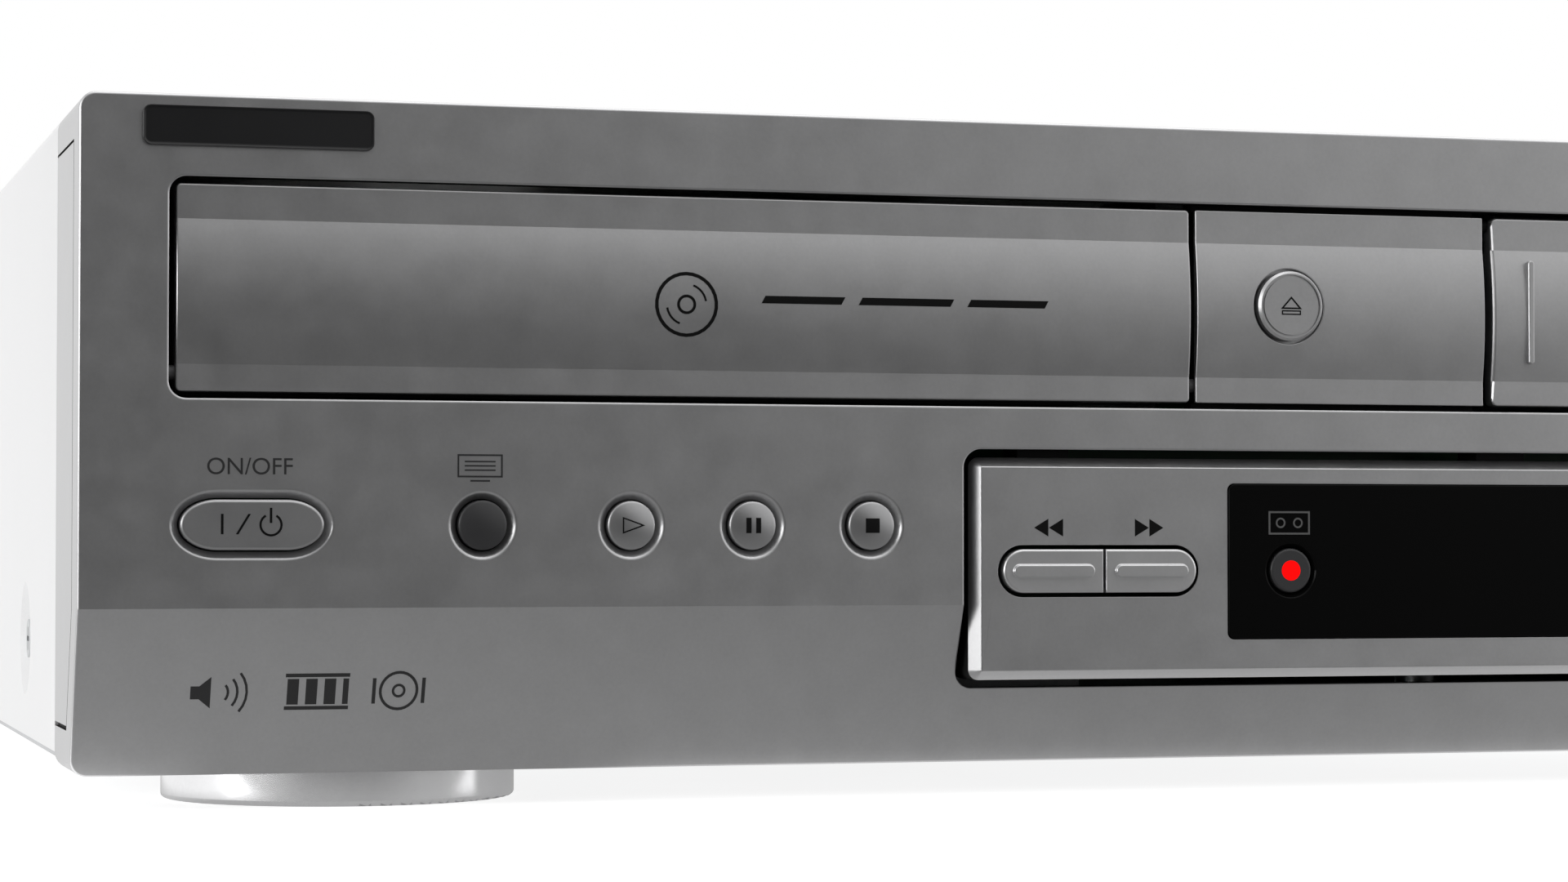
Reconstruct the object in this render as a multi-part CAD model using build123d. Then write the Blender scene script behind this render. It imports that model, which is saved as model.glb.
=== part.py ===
from build123d import *
import math
import os

os.makedirs("parts", exist_ok=True)

# Case: a moulded front, and a sheet steel cover over a sheet steel pan
body_height = 94.0
body_depth = 280.0
sheet = 1.0
corner_round = 2.4
cover_seam = 0.1
cover_lift = 2.4
pan_seam = 0.3
pan_wall = 30.0
panel_clearance = 0.2
connector_proud = 10.0
past = 1.0
join = 0.1

# Vents in the pan and in the rear panel
vent_columns = 8
vent_rows = 3
vent_width = 3.0
vent_length = 20.0
vent_pitch = 9.0
vent_row_pitch = 26.0
vent_rear = 130.0
vent_side = 60.0
rear_vents = 10
rear_vent_pitch = 6.0
rear_vent_low = 55.0
rear_vent_height = 25.0
rear_vent_side = 30.0

# Front moulding
bezel_depth = 30.4
bezel_wall = 2.5
chin_height = 23.3
chin_recess = 9.3
rim_round = 0.45
side_groove = 0.4
side_groove_low = 0.65
side_groove_depth = 0.5
side_strip_from = 6.8
side_strip_low = 6.2
side_strip_top = 5.95
pillar_radius = 3.0
pillar_inset = 20.0
pillar_up = 11.0

# Disc drawer, wide enough for a 120 mm disc
disc_radius = 60.0
disc_thickness = 1.2
well_clearance = 0.7
well_depth = 1.6
tray_rim = 6.3
tray_lip = 2.0
tray_tail = 36.6
tray_top_gap = 1.4
tray_plate = 3.2
tray_corner = 4.0
tray_setback = 43.0
slot_width = 36.0

# Cassette
cassette_width = 187.0
cassette_depth = 103.0
cassette_height = 25.0

# Door strip across the upper half of the front
strip_margin = 12.3
strip_top_margin = 11.3
strip_height = 30.5
strip_corner = 2.4
disc_door_margin = 7.9
tape_door_margin = 8.55
centre_width = 47.1
door_gap = 0.9
door_end_gap = 1.0
panel_gap = 1.0
tape_gap = 1.4
door_recess = 0.8
door_thickness = 2.2
door_band_low = 3.8
door_band_high = 4.9
disc_door_corner = 0.7
tape_door_corner = 1.0
centre_corner = 0.2
web_recess = 1.5
web_thickness = 6.0
web_overlap = 3.0
web_groove = 1.5
web_left_gap = 0.2
web_right_gap = 0.7
rib_inset = 6.2
rib_width = 1.0
rib_height = 15.8
rib_proud = 0.5

# Door hinges
disc_pin_radius = 1.05
disc_pivot_back = 2.9
disc_pivot_up = 2.65
tape_pin_radius = 0.85
tape_pivot_back = 2.6
tape_pivot_down = 1.15
pin_length = 2.6
pin_clearance = 0.05
pin_end_gap = 0.4
knuckle_wall = 0.75
knuckle_inset = 1.0
lug_size = 4.0
lug_length = 5.0

# Push buttons
button_row = 34.8
button_proud = 0.6
button_travel = 0.8
button_clearance = 0.2
button_radius = 3.5
button_behind = 1.5
button_flange = 1.0
button_dome = 0.6
button_round = 0.5
dish_radius = 4.7
dish_depth = 1.1
stem_radius = 1.5
stem_into = 1.0
power_in = 23.8
power_length = 19.9
power_height = 7.0
power_end = 5.2
power_dish = 1.2
tape_eject_in = 22.8
tape_eject_length = 22.2
scan_in = 56.1
play_in = 77.55
key_pitch = 17.85
eject_in = 14.7
eject_up = 15.5
eject_radius = 5.2
eject_clearance = 0.45
eject_proud = 0.9
eject_chamfer = 0.35
eject_ring = 4.5
eject_groove = 0.3
eject_groove_depth = 0.25

# Control panel in the middle of the lower half
control_margin = 127.4
control_low = 11.1
control_below_strip = 6.2
control_corner = 2.7
control_gap = 1.2
control_bevel = 1.4
control_bevel_depth = 1.8
control_wall = 1.8
control_depth = 9.0
snap_width = 8.0
snap_inset = 12.0
snap_height = 2.4
pill_in = 132.6
pill_length = 31.5
pill_height = 7.6
pill_up = 17.1
pill_gap = 0.4
pill_split = 0.6
pill_proud = 0.8
pill_rim = 0.6
pill_depth = 5.0
pill_round = 0.4
bar_height = 1.8
bar_proud = 0.6
bar_inset = 1.5
window_margin = 168.9
window_low = 7.0
window_top = 5.0
window_corner = 1.0
window_thickness = 1.6
window_proud = 0.25
window_gap = 0.1
record_in = 10.0
record_up = 10.1
record_radius = 3.3
record_recess = 4.1
record_dish_depth = 0.5
record_sunk = 0.05
record_length = 4.25

# Badge place on the front, left blank
plate_in = 8.6
plate_length = 32.0
plate_height = 5.6
plate_thickness = 0.5
plate_corner = 1.2
plate_up = 1.25

# Boards, switches and display tube behind the front
board_thickness = 1.6
front_board_back = 16.0
front_board_side = 6.0
front_board_low = 1.9
front_board_top = 4.2
eject_board_top = 6.0
switch_size = 6.0
switch_depth = 3.0
switch_gap = 0.1
tube_height = 16.0
tube_depth = 5.0
tube_back = 1.5
tube_end_gap = 4.0
tube_leg = 0.8

# Sockets: three on the chin, two rows and the aerials on the back
socket_radius = 4.15
socket_bore = 1.6
socket_step = 0.6
socket_pitch = 14.0
socket_proud = 8.0
socket_floor = 2.0
socket_hole_gap = 0.2
front_socket_count = 3
front_socket_in = 27.0
front_socket_up = 1.0
front_socket_back = 2.5
jack_side = 175.0
jack_columns = 6
jack_rows = 2
jack_row_pitch = 16.0
jack_low = 28.0
jack_block_margin = 8.0
jack_block_depth = 14.0
jack_tail = 3.0
aerial_radius = 4.75
aerial_bore = 1.2
aerial_spacing = 18.0
tuner_in = 95.0
tuner_up = 34.0
tuner_width = 60.0
tuner_depth = 45.0
tuner_height = 20.0
inlet_in = 35.0
inlet_up = 30.0
inlet_width = 20.0
inlet_height = 14.0
inlet_depth = 16.0
inlet_recess = 12.0
inlet_rim = 2.0
inlet_rim_proud = 1.0
inlet_lobe = 4.1
inlet_waist = 3.4
inlet_pin_radius = 1.2
inlet_pin_pitch = 8.6
inlet_pin_short = 2.0

# Feet
foot_height = 5.0
foot_radius = 26.0
foot_round = 0.8
foot_hollow = 2.5
foot_hollow_radius = 13.0
foot_margin = 42.0
foot_front = 37.0
foot_rear = 45.0

# Side dimples and their screws
dimple_radius = 8.8
dimple_floor = 5.5
dimple_depth = 2.0
dimple_up = 17.4
dimple_front = 80.5
dimple_rear = 55.0
screw_radius = 1.5
screw_head_radius = 3.0
screw_head = 1.6
screw_length = 4.0
screw_slot = 0.8
screw_slot_depth = 0.5

# Boards on the floor of the case
standoff = 6.0
standoff_radius = 2.5
standoff_inset = 5.0
board_front = 62.0
board_rear = 48.0
power_board_side = 8.0
power_board_width = 90.0
board_spacing = 4.0
main_board_width = 99.0
core_width = 32.0
core_depth = 28.0
core_height = 27.0
core_window = 5.0
core_limb = 5.0
core_yoke = 6.0
winding_depth = 4.0
winding_gap = 0.2
transformer_in = 45.0
transformer_rear = 60.0
sink_in = 10.0
sink_front = 60.0
sink_length = 50.0
sink_height = 30.0
sink_thickness = 3.0
fin_count = 6
fin_pitch = 9.0
fin_thickness = 1.5
fin_length = 7.6
fin_low = 4.0
fin_from = 2.0
chip_height = 2.4
capacitor_rear = 20.0

# Drive of the disc drawer
rail_from = 30.0
rail_inset = 10.0
rail_drop = 6.0
rail_width = 4.7
rack_root = 1.3
rack_end = 6.0
gear_module = 1.0
gear_teeth = 24
pressure_angle = 20.0
tooth_tip = 0.9
tooth_backlash = 0.12
gear_clearance = 0.05
gear_post = 2.5
gear_gap = 0.3
gear_hub = 9.0
drive_pulley_radius = 14.0
pulley_rim = 1.2
pulley_low = 0.5
groove_low = 3.0
groove_high = 6.0
motor_pulley_radius = 3.0
motor_pulley_height = 8.0
motor_side = 36.0
motor_forward = 30.0
motor_radius = 10.0
motor_height = 20.0
motor_shaft = 1.0
belt_thickness = 1.0
belt_width = 2.0
belt_slack = 0.06

# Frame of the disc loader
loader_wall = 2.0
loader_drop = 25.1
loader_front = 12.0
loader_rear = 19.0
loader_side = 7.0
slide_clearance = 0.3
ledge_width = 4.0
ledge_thickness = 2.0
tray_side_gap = 1.0
tab_length = 12.0
tab_front = 22.0
tab_rear = 60.0
bridge_lift = 3.5
bridge_thickness = 1.5
bridge_width = 34.0
bridge_hole = 12.0
bracket_front = 9.0
bracket_rear = 12.0
bracket_flange = 8.0
bracket_inset = 2.0

# Disc turntable, its clamp and the pickup
disc_lift = 0.9
turntable_radius = 14.0
turntable_thickness = 2.5
cone_radius = 7.4
cone_height = 1.6
cone_taper = 1.4
spindle_radius = 1.2
clamp_radius = 15.0
clamp_neck = 10.5
clamp_flange = 14.0
clamp_play = 0.4
clamp_lid = 1.0
clamp_gap = 0.1
clamp_recess = 2.0
clamp_recess_gap = 0.6
traverse_width = 46.0
traverse_thickness = 2.0
traverse_drop = 11.0
traverse_front = 26.0
traverse_pivot_back = 93.0
traverse_pivot_radius = 2.0
traverse_pin_length = 7.0
traverse_window = 22.0
seat_size = 4.0
seat_gap = 5.5
ear_width = 6.0
ear_thickness = 3.0
ear_depth = 7.0
ear_front = 17.0
ear_rear = 7.0
rod_radius = 1.5
rod_spacing = 34.0
rod_drop = 4.5
spindle_motor_radius = 10.5
spindle_motor_depth = 9.0
sled_front = 19.0
sled_length = 26.0
sled_margin = 4.0
sled_travel = 33.0
sled_low = 8.5
sled_top_gap = 1.6
lens_radius = 3.2
lens_height = 1.4
lens_in = 6.0
pickup_gap = 1.6
pickup_width = 18.0

# Tape deck
holder_clearance = 0.8
holder_wall = 1.0
holder_front = 33.0
holder_lift = 0.4
holder_headroom = 0.6
holder_ledge = 11.0
holder_stop = 6.0
holder_stop_height = 12.0
holder_stop_in = 4.0
holder_back_gap = 2.0
holder_drop = 22.0
holder_pin = 2.0
holder_pin_gap = 0.2
deck_up = 17.0
deck_thickness = 1.5
deck_side = 8.0
deck_side_gap = 2.5
deck_front = 4.0
deck_rear = 48.0
deck_leg = 3.5
deck_leg_inset = 6.0
upright_thickness = 1.2
upright_width = 20.0
upright_top = 6.0
drum_radius = 31.0
lower_drum_height = 17.0
upper_drum_height = 16.0
drum_gap = 0.3
drum_shaft = 3.0
drum_hub = 14.0
drum_hub_height = 5.0
drum_foot_width = 48.0
drum_foot_front = 8.0
drum_foot_height = 4.0
reel_spacing = 90.0
reel_back = 55.0
reel_radius = 20.0
reel_flange = 3.5
reel_lift = 0.5
reel_hub = 6.5
reel_hub_height = 12.0
reel_post = 1.8
reel_post_height = 14.0
reel_splines = 3
spline_reach = 9.5
spline_width = 1.6
capstan_side = 62.0
capstan_back = 12.0
capstan_radius = 2.0
capstan_height = 32.0
flywheel_radius = 22.0
flywheel_height = 5.0
flywheel_gap = 2.0
guide_side = 45.0
guide_front = 11.0
guide_slot = 4.5
guide_neck = 2.1
guide_button = 4.0
guide_width = 14.0
guide_length = 12.0
guide_height = 4.0
guide_post = 3.0
guide_post_height = 27.0
pinch_side = 26.0
pinch_back = 22.0
pinch_radius = 7.0
pinch_swing = 24.0
pinch_gap = 0.3
pinch_pivot_radius = 2.0
pinch_eye = 5.0
pinch_arm_width = 6.0
pinch_arm_thickness = 3.0
pinch_axle = 1.5
pinch_roller_low = 6.0
pinch_roller_height = 14.0
head_height = 24.0
head_width = 10.0
erase_head_side = 71.0
erase_head_depth = 12.0
erase_head_back = 6.0
audio_head_side = 65.0
audio_head_depth = 10.0
audio_head_back = 28.0
deck_motor_side = 78.0
deck_motor_radius = 12.0
deck_motor_height = 24.0
deck_pulley_radius = 3.0
deck_pulley_height = 6.0

# The drawer, the middle panel and the cassette side by side give the width
tray_width = 2 * (disc_radius + well_clearance + tray_rim)
tray_length = tray_lip + 2 * (disc_radius + well_clearance) + tray_tail
disc_door_width = tray_width + 2 * disc_door_margin
tape_door_width = cassette_width + 2 * tape_door_margin
width = (2 * (strip_margin + door_end_gap) + disc_door_width + panel_gap + centre_width + tape_gap
         + tape_door_width)

# Case
left = -width / 2
right = width / 2
bottom = foot_height
top = foot_height + body_height
front = pill_proud + bar_proud - (pill_proud + bar_proud + body_depth + connector_proud) / 2
rear = front + body_depth
floor_top = bottom + sheet
panel_inside = rear - sheet

# Door strip
strip_z1 = top - strip_top_margin
strip_z0 = strip_z1 - strip_height
strip_middle = (strip_z0 + strip_z1) / 2
strip_x0 = left + strip_margin
strip_x1 = right - strip_margin
door_z0 = strip_z0 + door_gap
door_z1 = strip_z1 - door_gap
disc_door_x0 = strip_x0 + door_end_gap
disc_door_x1 = disc_door_x0 + disc_door_width
centre_x0 = disc_door_x1 + panel_gap
centre_x1 = centre_x0 + centre_width
tape_door_x0 = centre_x1 + tape_gap
tape_door_x1 = tape_door_x0 + tape_door_width
web_x0 = centre_x0 + web_left_gap
web_x1 = centre_x1 - web_right_gap
disc_pivot_y = front + disc_pivot_back
disc_pivot_z = door_z0 + disc_pivot_up
tape_pivot_y = front + tape_pivot_back
tape_pivot_z = door_z1 - tape_pivot_down

# Lower half of the front
control_x0 = left + control_margin
control_x1 = right - control_margin
control_z0 = bottom + control_low
control_z1 = strip_z0 - control_below_strip
control_middle = (control_z0 + control_z1) / 2
window_x0 = left + window_margin
window_x1 = right - window_margin
window_z0 = control_z0 + window_low
window_z1 = control_z1 - window_top
window_middle = (window_z0 + window_z1) / 2
front_board_y = front + front_board_back
front_board_z1 = strip_z0 - front_board_top
switch_y = front_board_y - switch_depth
stem_end = switch_y - switch_gap - button_travel
chin_slope = chin_recess / chin_height
front_socket_z = bottom + chin_height / 2 + front_socket_up
front_socket_places = [right - front_socket_in - i * socket_pitch for i in range(front_socket_count)]
row_z = bottom + button_row
power_x = left + power_in
tape_eject_x = right - tape_eject_in
eject_x = centre_x0 + eject_in
eject_z = strip_z0 + eject_up
record_x = window_x0 + record_in
record_z = window_z0 + record_up
pill_z = control_z0 + pill_up
key_places = [left + play_in + key_pitch * i for i in range(3)]
play_keys = dict(zip(("play_button", "pause_button", "stop_button"), key_places))
tape_keys = dict(zip(("tape_stop_button", "tape_pause_button", "tape_play_button"),
                     (-x for x in key_places)))
round_keys = {"progressive_button": left + scan_in, **play_keys, **tape_keys}
pill_buttons = {"power_button": (power_x, power_length),
                "tape_eject_button": (tape_eject_x, tape_eject_length)}
pill_x = {-1: left + pill_in + pill_length / 2, 1: right - pill_in - pill_length / 2}
key_length = pill_length - 2 * pill_rim
scan_keys = {"rewind_button": (-1, -1), "fast_forward_button": (-1, 1),
             "channel_down_button": (1, -1), "channel_up_button": (1, 1)}

# Rear connections
jack_places = [(left + jack_side + i * socket_pitch, bottom + jack_low + j * jack_row_pitch)
               for i in range(jack_columns) for j in range(jack_rows)]
tuner_x = right - tuner_in
tuner_y0 = panel_inside - tuner_depth
tuner_z = bottom + tuner_up
aerial_places = [(tuner_x + side * aerial_spacing / 2, tuner_z) for side in (-1, 1)]
inlet_x = left + inlet_in
inlet_z = bottom + inlet_up

# Boards
board_y0 = front + board_front
board_y1 = rear - board_rear
board_z0 = floor_top + standoff
board_z1 = board_z0 + board_thickness
power_board_x0 = left + power_board_side
power_board_x1 = power_board_x0 + power_board_width
main_board_x0 = power_board_x1 + board_spacing
main_board_x1 = main_board_x0 + main_board_width

# Disc drawer and its drive
tray_x = (disc_door_x0 + disc_door_x1) / 2
tray_x0 = tray_x - tray_width / 2
tray_x1 = tray_x + tray_width / 2
tray_y0 = front + door_recess + door_thickness + tray_setback
tray_y1 = tray_y0 + tray_length
tray_z1 = strip_z1 - tray_top_gap
tray_z0 = tray_z1 - tray_plate
disc_y = tray_y0 + tray_lip + disc_radius + well_clearance
loader_x0 = tray_x0 - loader_side
loader_x1 = tray_x1 + loader_side
loader_y0 = front + loader_front
loader_y1 = panel_inside - loader_rear
loader_z0 = tray_z0 - loader_drop
loader_z1 = loader_z0 + loader_wall
bridge_z = tray_z1 + bridge_lift
rail_z0 = tray_z0 - rail_drop
rail_x0 = tray_x0 + rail_inset
rack_y0 = tray_y0 + rail_from
rack_y1 = loader_y1 - 2 * loader_wall
rack_x = rail_x0 + rail_width + rack_root
gear_radius = gear_module * gear_teeth / 2
gear_x = rack_x + gear_radius
gear_y = rack_y0 + rack_end
tray_travel = rack_y1 - gear_y - rack_end
motor_x = gear_x + motor_side
motor_y = gear_y - motor_forward

# Disc turntable and pickup
rest_z = tray_z1 - well_depth + disc_lift
traverse_z = rest_z - traverse_drop
traverse_pivot_y = disc_y + traverse_pivot_back
rod_z0 = traverse_z - rod_drop
sled_y0 = disc_y + sled_front
lens_z = rest_z - pickup_gap

# Tape deck
deck_x = (tape_door_x0 + tape_door_x1) / 2
deck_z1 = bottom + deck_up
deck_z0 = deck_z1 - deck_thickness
deck_x0 = deck_x - cassette_width / 2 - deck_side
deck_x1 = right - 2 * sheet - dimple_depth - deck_side_gap
deck_y0 = front + bezel_depth + deck_front
deck_y1 = rear - deck_rear
holder_x0 = deck_x - cassette_width / 2 - holder_clearance - holder_wall
holder_x1 = deck_x + cassette_width / 2 + holder_clearance + holder_wall
holder_y0 = front + holder_front
holder_y1 = holder_y0 + cassette_depth + holder_back_gap
slot_z0 = strip_z0 + holder_lift
holder_z0 = slot_z0 - holder_wall
holder_z1 = slot_z0 + cassette_height + holder_headroom + holder_wall
drum_y = (holder_y1 + tuner_y0) / 2
reel_y = holder_y0 + reel_back
capstan_x = deck_x + capstan_side
capstan_y = holder_y1 + capstan_back
guide_y = holder_y1 - guide_front
guide_travel = drum_y - guide_y
pinch_pivot_x = capstan_x + pinch_side
pinch_pivot_y = capstan_y + pinch_back
pinch_reach = math.hypot(pinch_side, pinch_back) - pinch_radius - capstan_radius - pinch_gap
pinch_turn = math.atan2(-pinch_back, -pinch_side) + math.radians(pinch_swing)
pinch_x = pinch_pivot_x + pinch_reach * math.cos(pinch_turn)
pinch_y = pinch_pivot_y + pinch_reach * math.sin(pinch_turn)
deck_motor_x = deck_x - deck_motor_side
deck_motor_y = (capstan_y + erase_head_back + erase_head_depth + deck_y1) / 2


def block(x0, x1, y0, y1, z0, z1):
    return Pos((x0 + x1) / 2, (y0 + y1) / 2, (z0 + z1) / 2) * Box(x1 - x0, y1 - y0, z1 - z0)


def centred(x, y, size_x, size_y, z0, z1):
    return Pos(x, y, (z0 + z1) / 2) * Box(size_x, size_y, z1 - z0)


def rod_x(x0, x1, y, z, radius):
    return Pos((x0 + x1) / 2, y, z) * Rot(0, 90, 0) * Cylinder(radius, x1 - x0)


def rod_y(x, y0, y1, z, radius):
    return Pos(x, (y0 + y1) / 2, z) * Rot(90, 0, 0) * Cylinder(radius, y1 - y0)


def rod_z(x, y, z0, z1, radius):
    return Pos(x, y, (z0 + z1) / 2) * Cylinder(radius, z1 - z0)


def slab_y(sketch, x, y0, y1, z):
    """A flat sketch, width along X and height along Z, made thick from y0 back to y1."""
    return Pos(x, y1, z) * Rot(90, 0, 0) * extrude(sketch, y1 - y0)


def slot_y(x, z, length, height, y0, y1):
    return slab_y(SlotOverall(length, height), x, y0, y1, z)


def oval(length, height, end):
    """A long button shape whose two ends are half ellipses, end deep and as high as the button."""
    straight = length / 2 - end
    sketch = Rectangle(2 * straight, height)
    sketch += Pos(-straight, 0) * Ellipse(end, height / 2)
    return sketch + Pos(straight, 0) * Ellipse(end, height / 2)


def profile_x(points, x0, x1):
    """A closed outline of (y, z) points drawn from x0 to x1."""
    face = make_face(Polyline(*points, close=True))
    return Pos(x0, 0, 0) * extrude(Plane.YZ * face, x1 - x0)


def edges_where(shape, test):
    return [edge for edge in shape.edges() if test(edge.center(), edge)]


def front_edges(shape, y):
    return edges_where(shape, lambda c, e: abs(c.Y - y) < 0.01)


def runs_along_y(edge):
    return abs(edge.tangent_at(0.5).Y) > 0.99


def save(name, *solids):
    shape = solids[0] if len(solids) == 1 else Compound(children=list(solids))
    export_step(shape, "parts/" + name + ".step")


# Front moulding: one hollow plastic shell with a sloping chin
def bezel_shell():
    outline = [(front, top), (front + bezel_depth, top), (front + bezel_depth, bottom),
               (front + chin_recess, bottom), (front, bottom + chin_height)]
    shell = profile_x(outline, left, right)
    long_edges = edges_where(shell, lambda c, e: abs(abs(c.X) - right) < 0.01 and runs_along_y(e))
    shell = fillet(long_edges, corner_round)
    rim = edges_where(shell, lambda c, e: c.Y < front + chin_recess + 0.01
                      and not (e.tangent_at(0.5).Y > 0.99)
                      and not (abs(c.X) < 1 and abs(c.Z - bottom - chin_height) < 0.01))
    shell = fillet(rim, rim_round)
    shift = bezel_wall * math.sqrt(1 + chin_slope ** 2)
    inner_low = bottom + bezel_wall
    chin_inner = front + shift + (chin_height - bezel_wall) * chin_slope
    crease = bottom + chin_height + (shift - bezel_wall) / chin_slope
    back = front + bezel_depth + past
    hollow = [(front + bezel_wall, top - bezel_wall), (back, top - bezel_wall), (back, inner_low),
              (chin_inner, inner_low), (front + bezel_wall, crease)]
    return shell - profile_x(hollow, left + bezel_wall, right - bezel_wall)


def hinge_lug(x, y, z):
    """Lug behind an outer end of the door strip; it starts inside the front wall."""
    x0, x1 = sorted((x, x - math.copysign(lug_length, x)))
    return block(x0, x1, front + bezel_wall / 2, y + lug_size, z - lug_size, z + lug_size)


def door_openings():
    """The two openings with rounded outer corners, and the set-back ledge between them."""
    mouth = RectangleRounded(strip_x1 - strip_x0, strip_height, strip_corner)
    ledge = slab_y(mouth, 0, front - past, front + web_recess, strip_middle)
    behind = front + web_thickness + past
    through = slab_y(mouth, 0, front - past, behind, strip_middle)
    through -= block(web_x0, web_x1, front - 2 * past, behind + past, strip_z0 - past, strip_z1 + past)
    return ledge + through


def hinge_holes():
    reach = pin_length + pin_end_gap
    disc_hole = disc_pin_radius + pin_clearance
    tape_hole = tape_pin_radius + pin_clearance
    return [rod_x(disc_door_x0 - reach, strip_x0 + join, disc_pivot_y, disc_pivot_z, disc_hole),
            rod_x(web_x0 - join, disc_door_x1 + reach, disc_pivot_y, disc_pivot_z, disc_hole),
            rod_x(tape_door_x0 - reach, web_x1 + join, tape_pivot_y, tape_pivot_z, tape_hole),
            rod_x(strip_x1 - strip_corner, tape_door_x1 + reach, tape_pivot_y, tape_pivot_z, tape_hole)]


def button_holes():
    """Dished holes for the push buttons, and the hole for the eject button's stem."""
    inside = front + bezel_wall + past
    holes = []
    for x in round_keys.values():
        holes.append(rod_y(x, front - past, inside, row_z, button_radius + button_clearance))
        holes.append(Pos(x, front + dish_depth / 2, row_z) * Rot(90, 0, 0) * Cone(
            button_radius + button_clearance, dish_radius, dish_depth))
    for x, length in pill_buttons.values():
        narrow, wide = (oval(length + 2 * gap, power_height + 2 * gap, power_end + gap)
                        for gap in (button_clearance, power_dish))
        holes.append(slab_y(narrow, x, front - past, inside, row_z))
        holes.append(loft([Pos(x, y, row_z) * Rot(90, 0, 0) * sketch
                           for y, sketch in ((front, wide), (front + dish_depth, narrow))]))
    holes.append(rod_y(eject_x, front - past, front + web_thickness + past, eject_z,
                       stem_radius + button_clearance))
    return holes


def side_grooves(side):
    """Thin lines cut into one end of the moulding; they frame a set-in strip."""
    x0, x1 = sorted((side * (right + past), side * (right - side_groove_depth)))
    y0 = front + side_strip_from
    y1 = front + bezel_depth + past
    z0 = bottom + side_strip_low
    z1 = top - side_strip_top
    knee = bottom + chin_height
    low_y = y0 + (chin_height - side_strip_low) * chin_slope
    upright = [(y0, z1), (y0 + side_groove, z1), (y0 + side_groove, knee),
               (low_y + side_groove, z0), (low_y, z0), (y0, knee)]
    return [block(x0, x1, y0, y1, z1 - side_groove, z1),
            block(x0, x1, low_y, y1, z0, z0 + side_groove_low), profile_x(upright, x0, x1)]


def make_bezel():
    shell = bezel_shell()
    shell += block(web_x0, web_x1, front + web_recess, front + web_thickness,
                   strip_z0 - web_overlap, strip_z1 + web_overlap)
    shell += hinge_lug(strip_x0 - lug_length, disc_pivot_y, disc_pivot_z)
    shell += hinge_lug(strip_x1 + lug_length, tape_pivot_y, tape_pivot_z)
    shell -= door_openings()
    # Shadow lines above and below the panel between the doors
    for z0, z1 in ((strip_z0, door_z0), (door_z1, strip_z1)):
        shell -= block(web_x0, web_x1, front + web_recess - join, front + web_recess + web_groove, z0, z1)
    shell -= hinge_holes()
    deep = front + chin_recess + bezel_wall + past
    shell -= slab_y(RectangleRounded(control_x1 - control_x0, control_z1 - control_z0, control_corner),
                    0, front - past, deep, control_middle)
    shell -= button_holes()
    shell -= [rod_y(x, front - past, deep, front_socket_z, socket_radius + socket_hole_gap)
              for x in front_socket_places]
    for side in (-1, 1):
        shell -= side_grooves(side)
    # Pillars that the front board is screwed to
    for x in (left + pillar_inset, control_x0 - pillar_inset, control_x1 + pillar_inset,
              right - pillar_inset):
        shell += rod_y(x, front + bezel_wall - join, front_board_y, row_z + pillar_up, pillar_radius)
    return shell


# Shared section of the doors and the panel between them: flat bands and a convex middle
def door_section(thickness):
    y_flat = front + door_recess
    y_back = y_flat + thickness
    low = door_z0 + door_band_low
    high = door_z1 - door_band_high
    edges = [Line((y_flat, door_z0), (y_flat, low)),
             ThreePointArc((y_flat, low), (front, (low + high) / 2), (y_flat, high)),
             Line((y_flat, high), (y_flat, door_z1)), Line((y_flat, door_z1), (y_back, door_z1)),
             Line((y_back, door_z1), (y_back, door_z0)), Line((y_back, door_z0), (y_flat, door_z0))]
    return make_face(edges)


def door_blank(x0, x1, thickness, corner):
    blank = Pos(x0, 0, 0) * extrude(Plane.YZ * door_section(thickness), x1 - x0)
    mask = slab_y(RectangleRounded(x1 - x0, door_z1 - door_z0, corner),
                  (x0 + x1) / 2, front - past, front + web_thickness, (door_z0 + door_z1) / 2)
    return blank & mask


def door_hinge(x0, x1, y, z, radius):
    """A bead along the door's edge, and the pin that stands out of both its ends."""
    bead = rod_x(x0 + knuckle_inset, x1 - knuckle_inset, y, z, radius + knuckle_wall)
    return bead + rod_x(x0 - pin_length, x1 + pin_length, y, z, radius)


def make_disc_door():
    door = door_blank(disc_door_x0, disc_door_x1, door_thickness, disc_door_corner)
    return door + door_hinge(disc_door_x0, disc_door_x1, disc_pivot_y, disc_pivot_z, disc_pin_radius)


def make_tape_door():
    door = door_blank(tape_door_x0, tape_door_x1, door_thickness, tape_door_corner)
    door += door_hinge(tape_door_x0, tape_door_x1, tape_pivot_y, tape_pivot_z, tape_pin_radius)
    for x in (tape_door_x0 + rib_inset, tape_door_x1 - rib_inset):
        door += slab_y(SlotOverall(rib_height, rib_width, rotation=90), x,
                       front - rib_proud, front + door_thickness, (door_z0 + door_z1) / 2)
    return door


def make_centre_panel():
    panel = door_blank(centre_x0, centre_x1, web_recess - door_recess, centre_corner)
    return panel - rod_y(eject_x, front - past, front + web_thickness, eject_z,
                         eject_radius + eject_clearance)


def make_eject_button():
    face = front - eject_proud
    back = front + web_recess - join
    cap = rod_y(eject_x, face, back - button_travel, eject_z, eject_radius)
    cap = chamfer(front_edges(cap, face), eject_chamfer)
    groove = rod_y(eject_x, face - past, face + eject_groove_depth, eject_z,
                   eject_ring + eject_groove / 2)
    groove -= rod_y(eject_x, face - 2 * past, front + past, eject_z, eject_ring - eject_groove / 2)
    return cap - groove + rod_y(eject_x, front, stem_end, eject_z, stem_radius)


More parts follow.
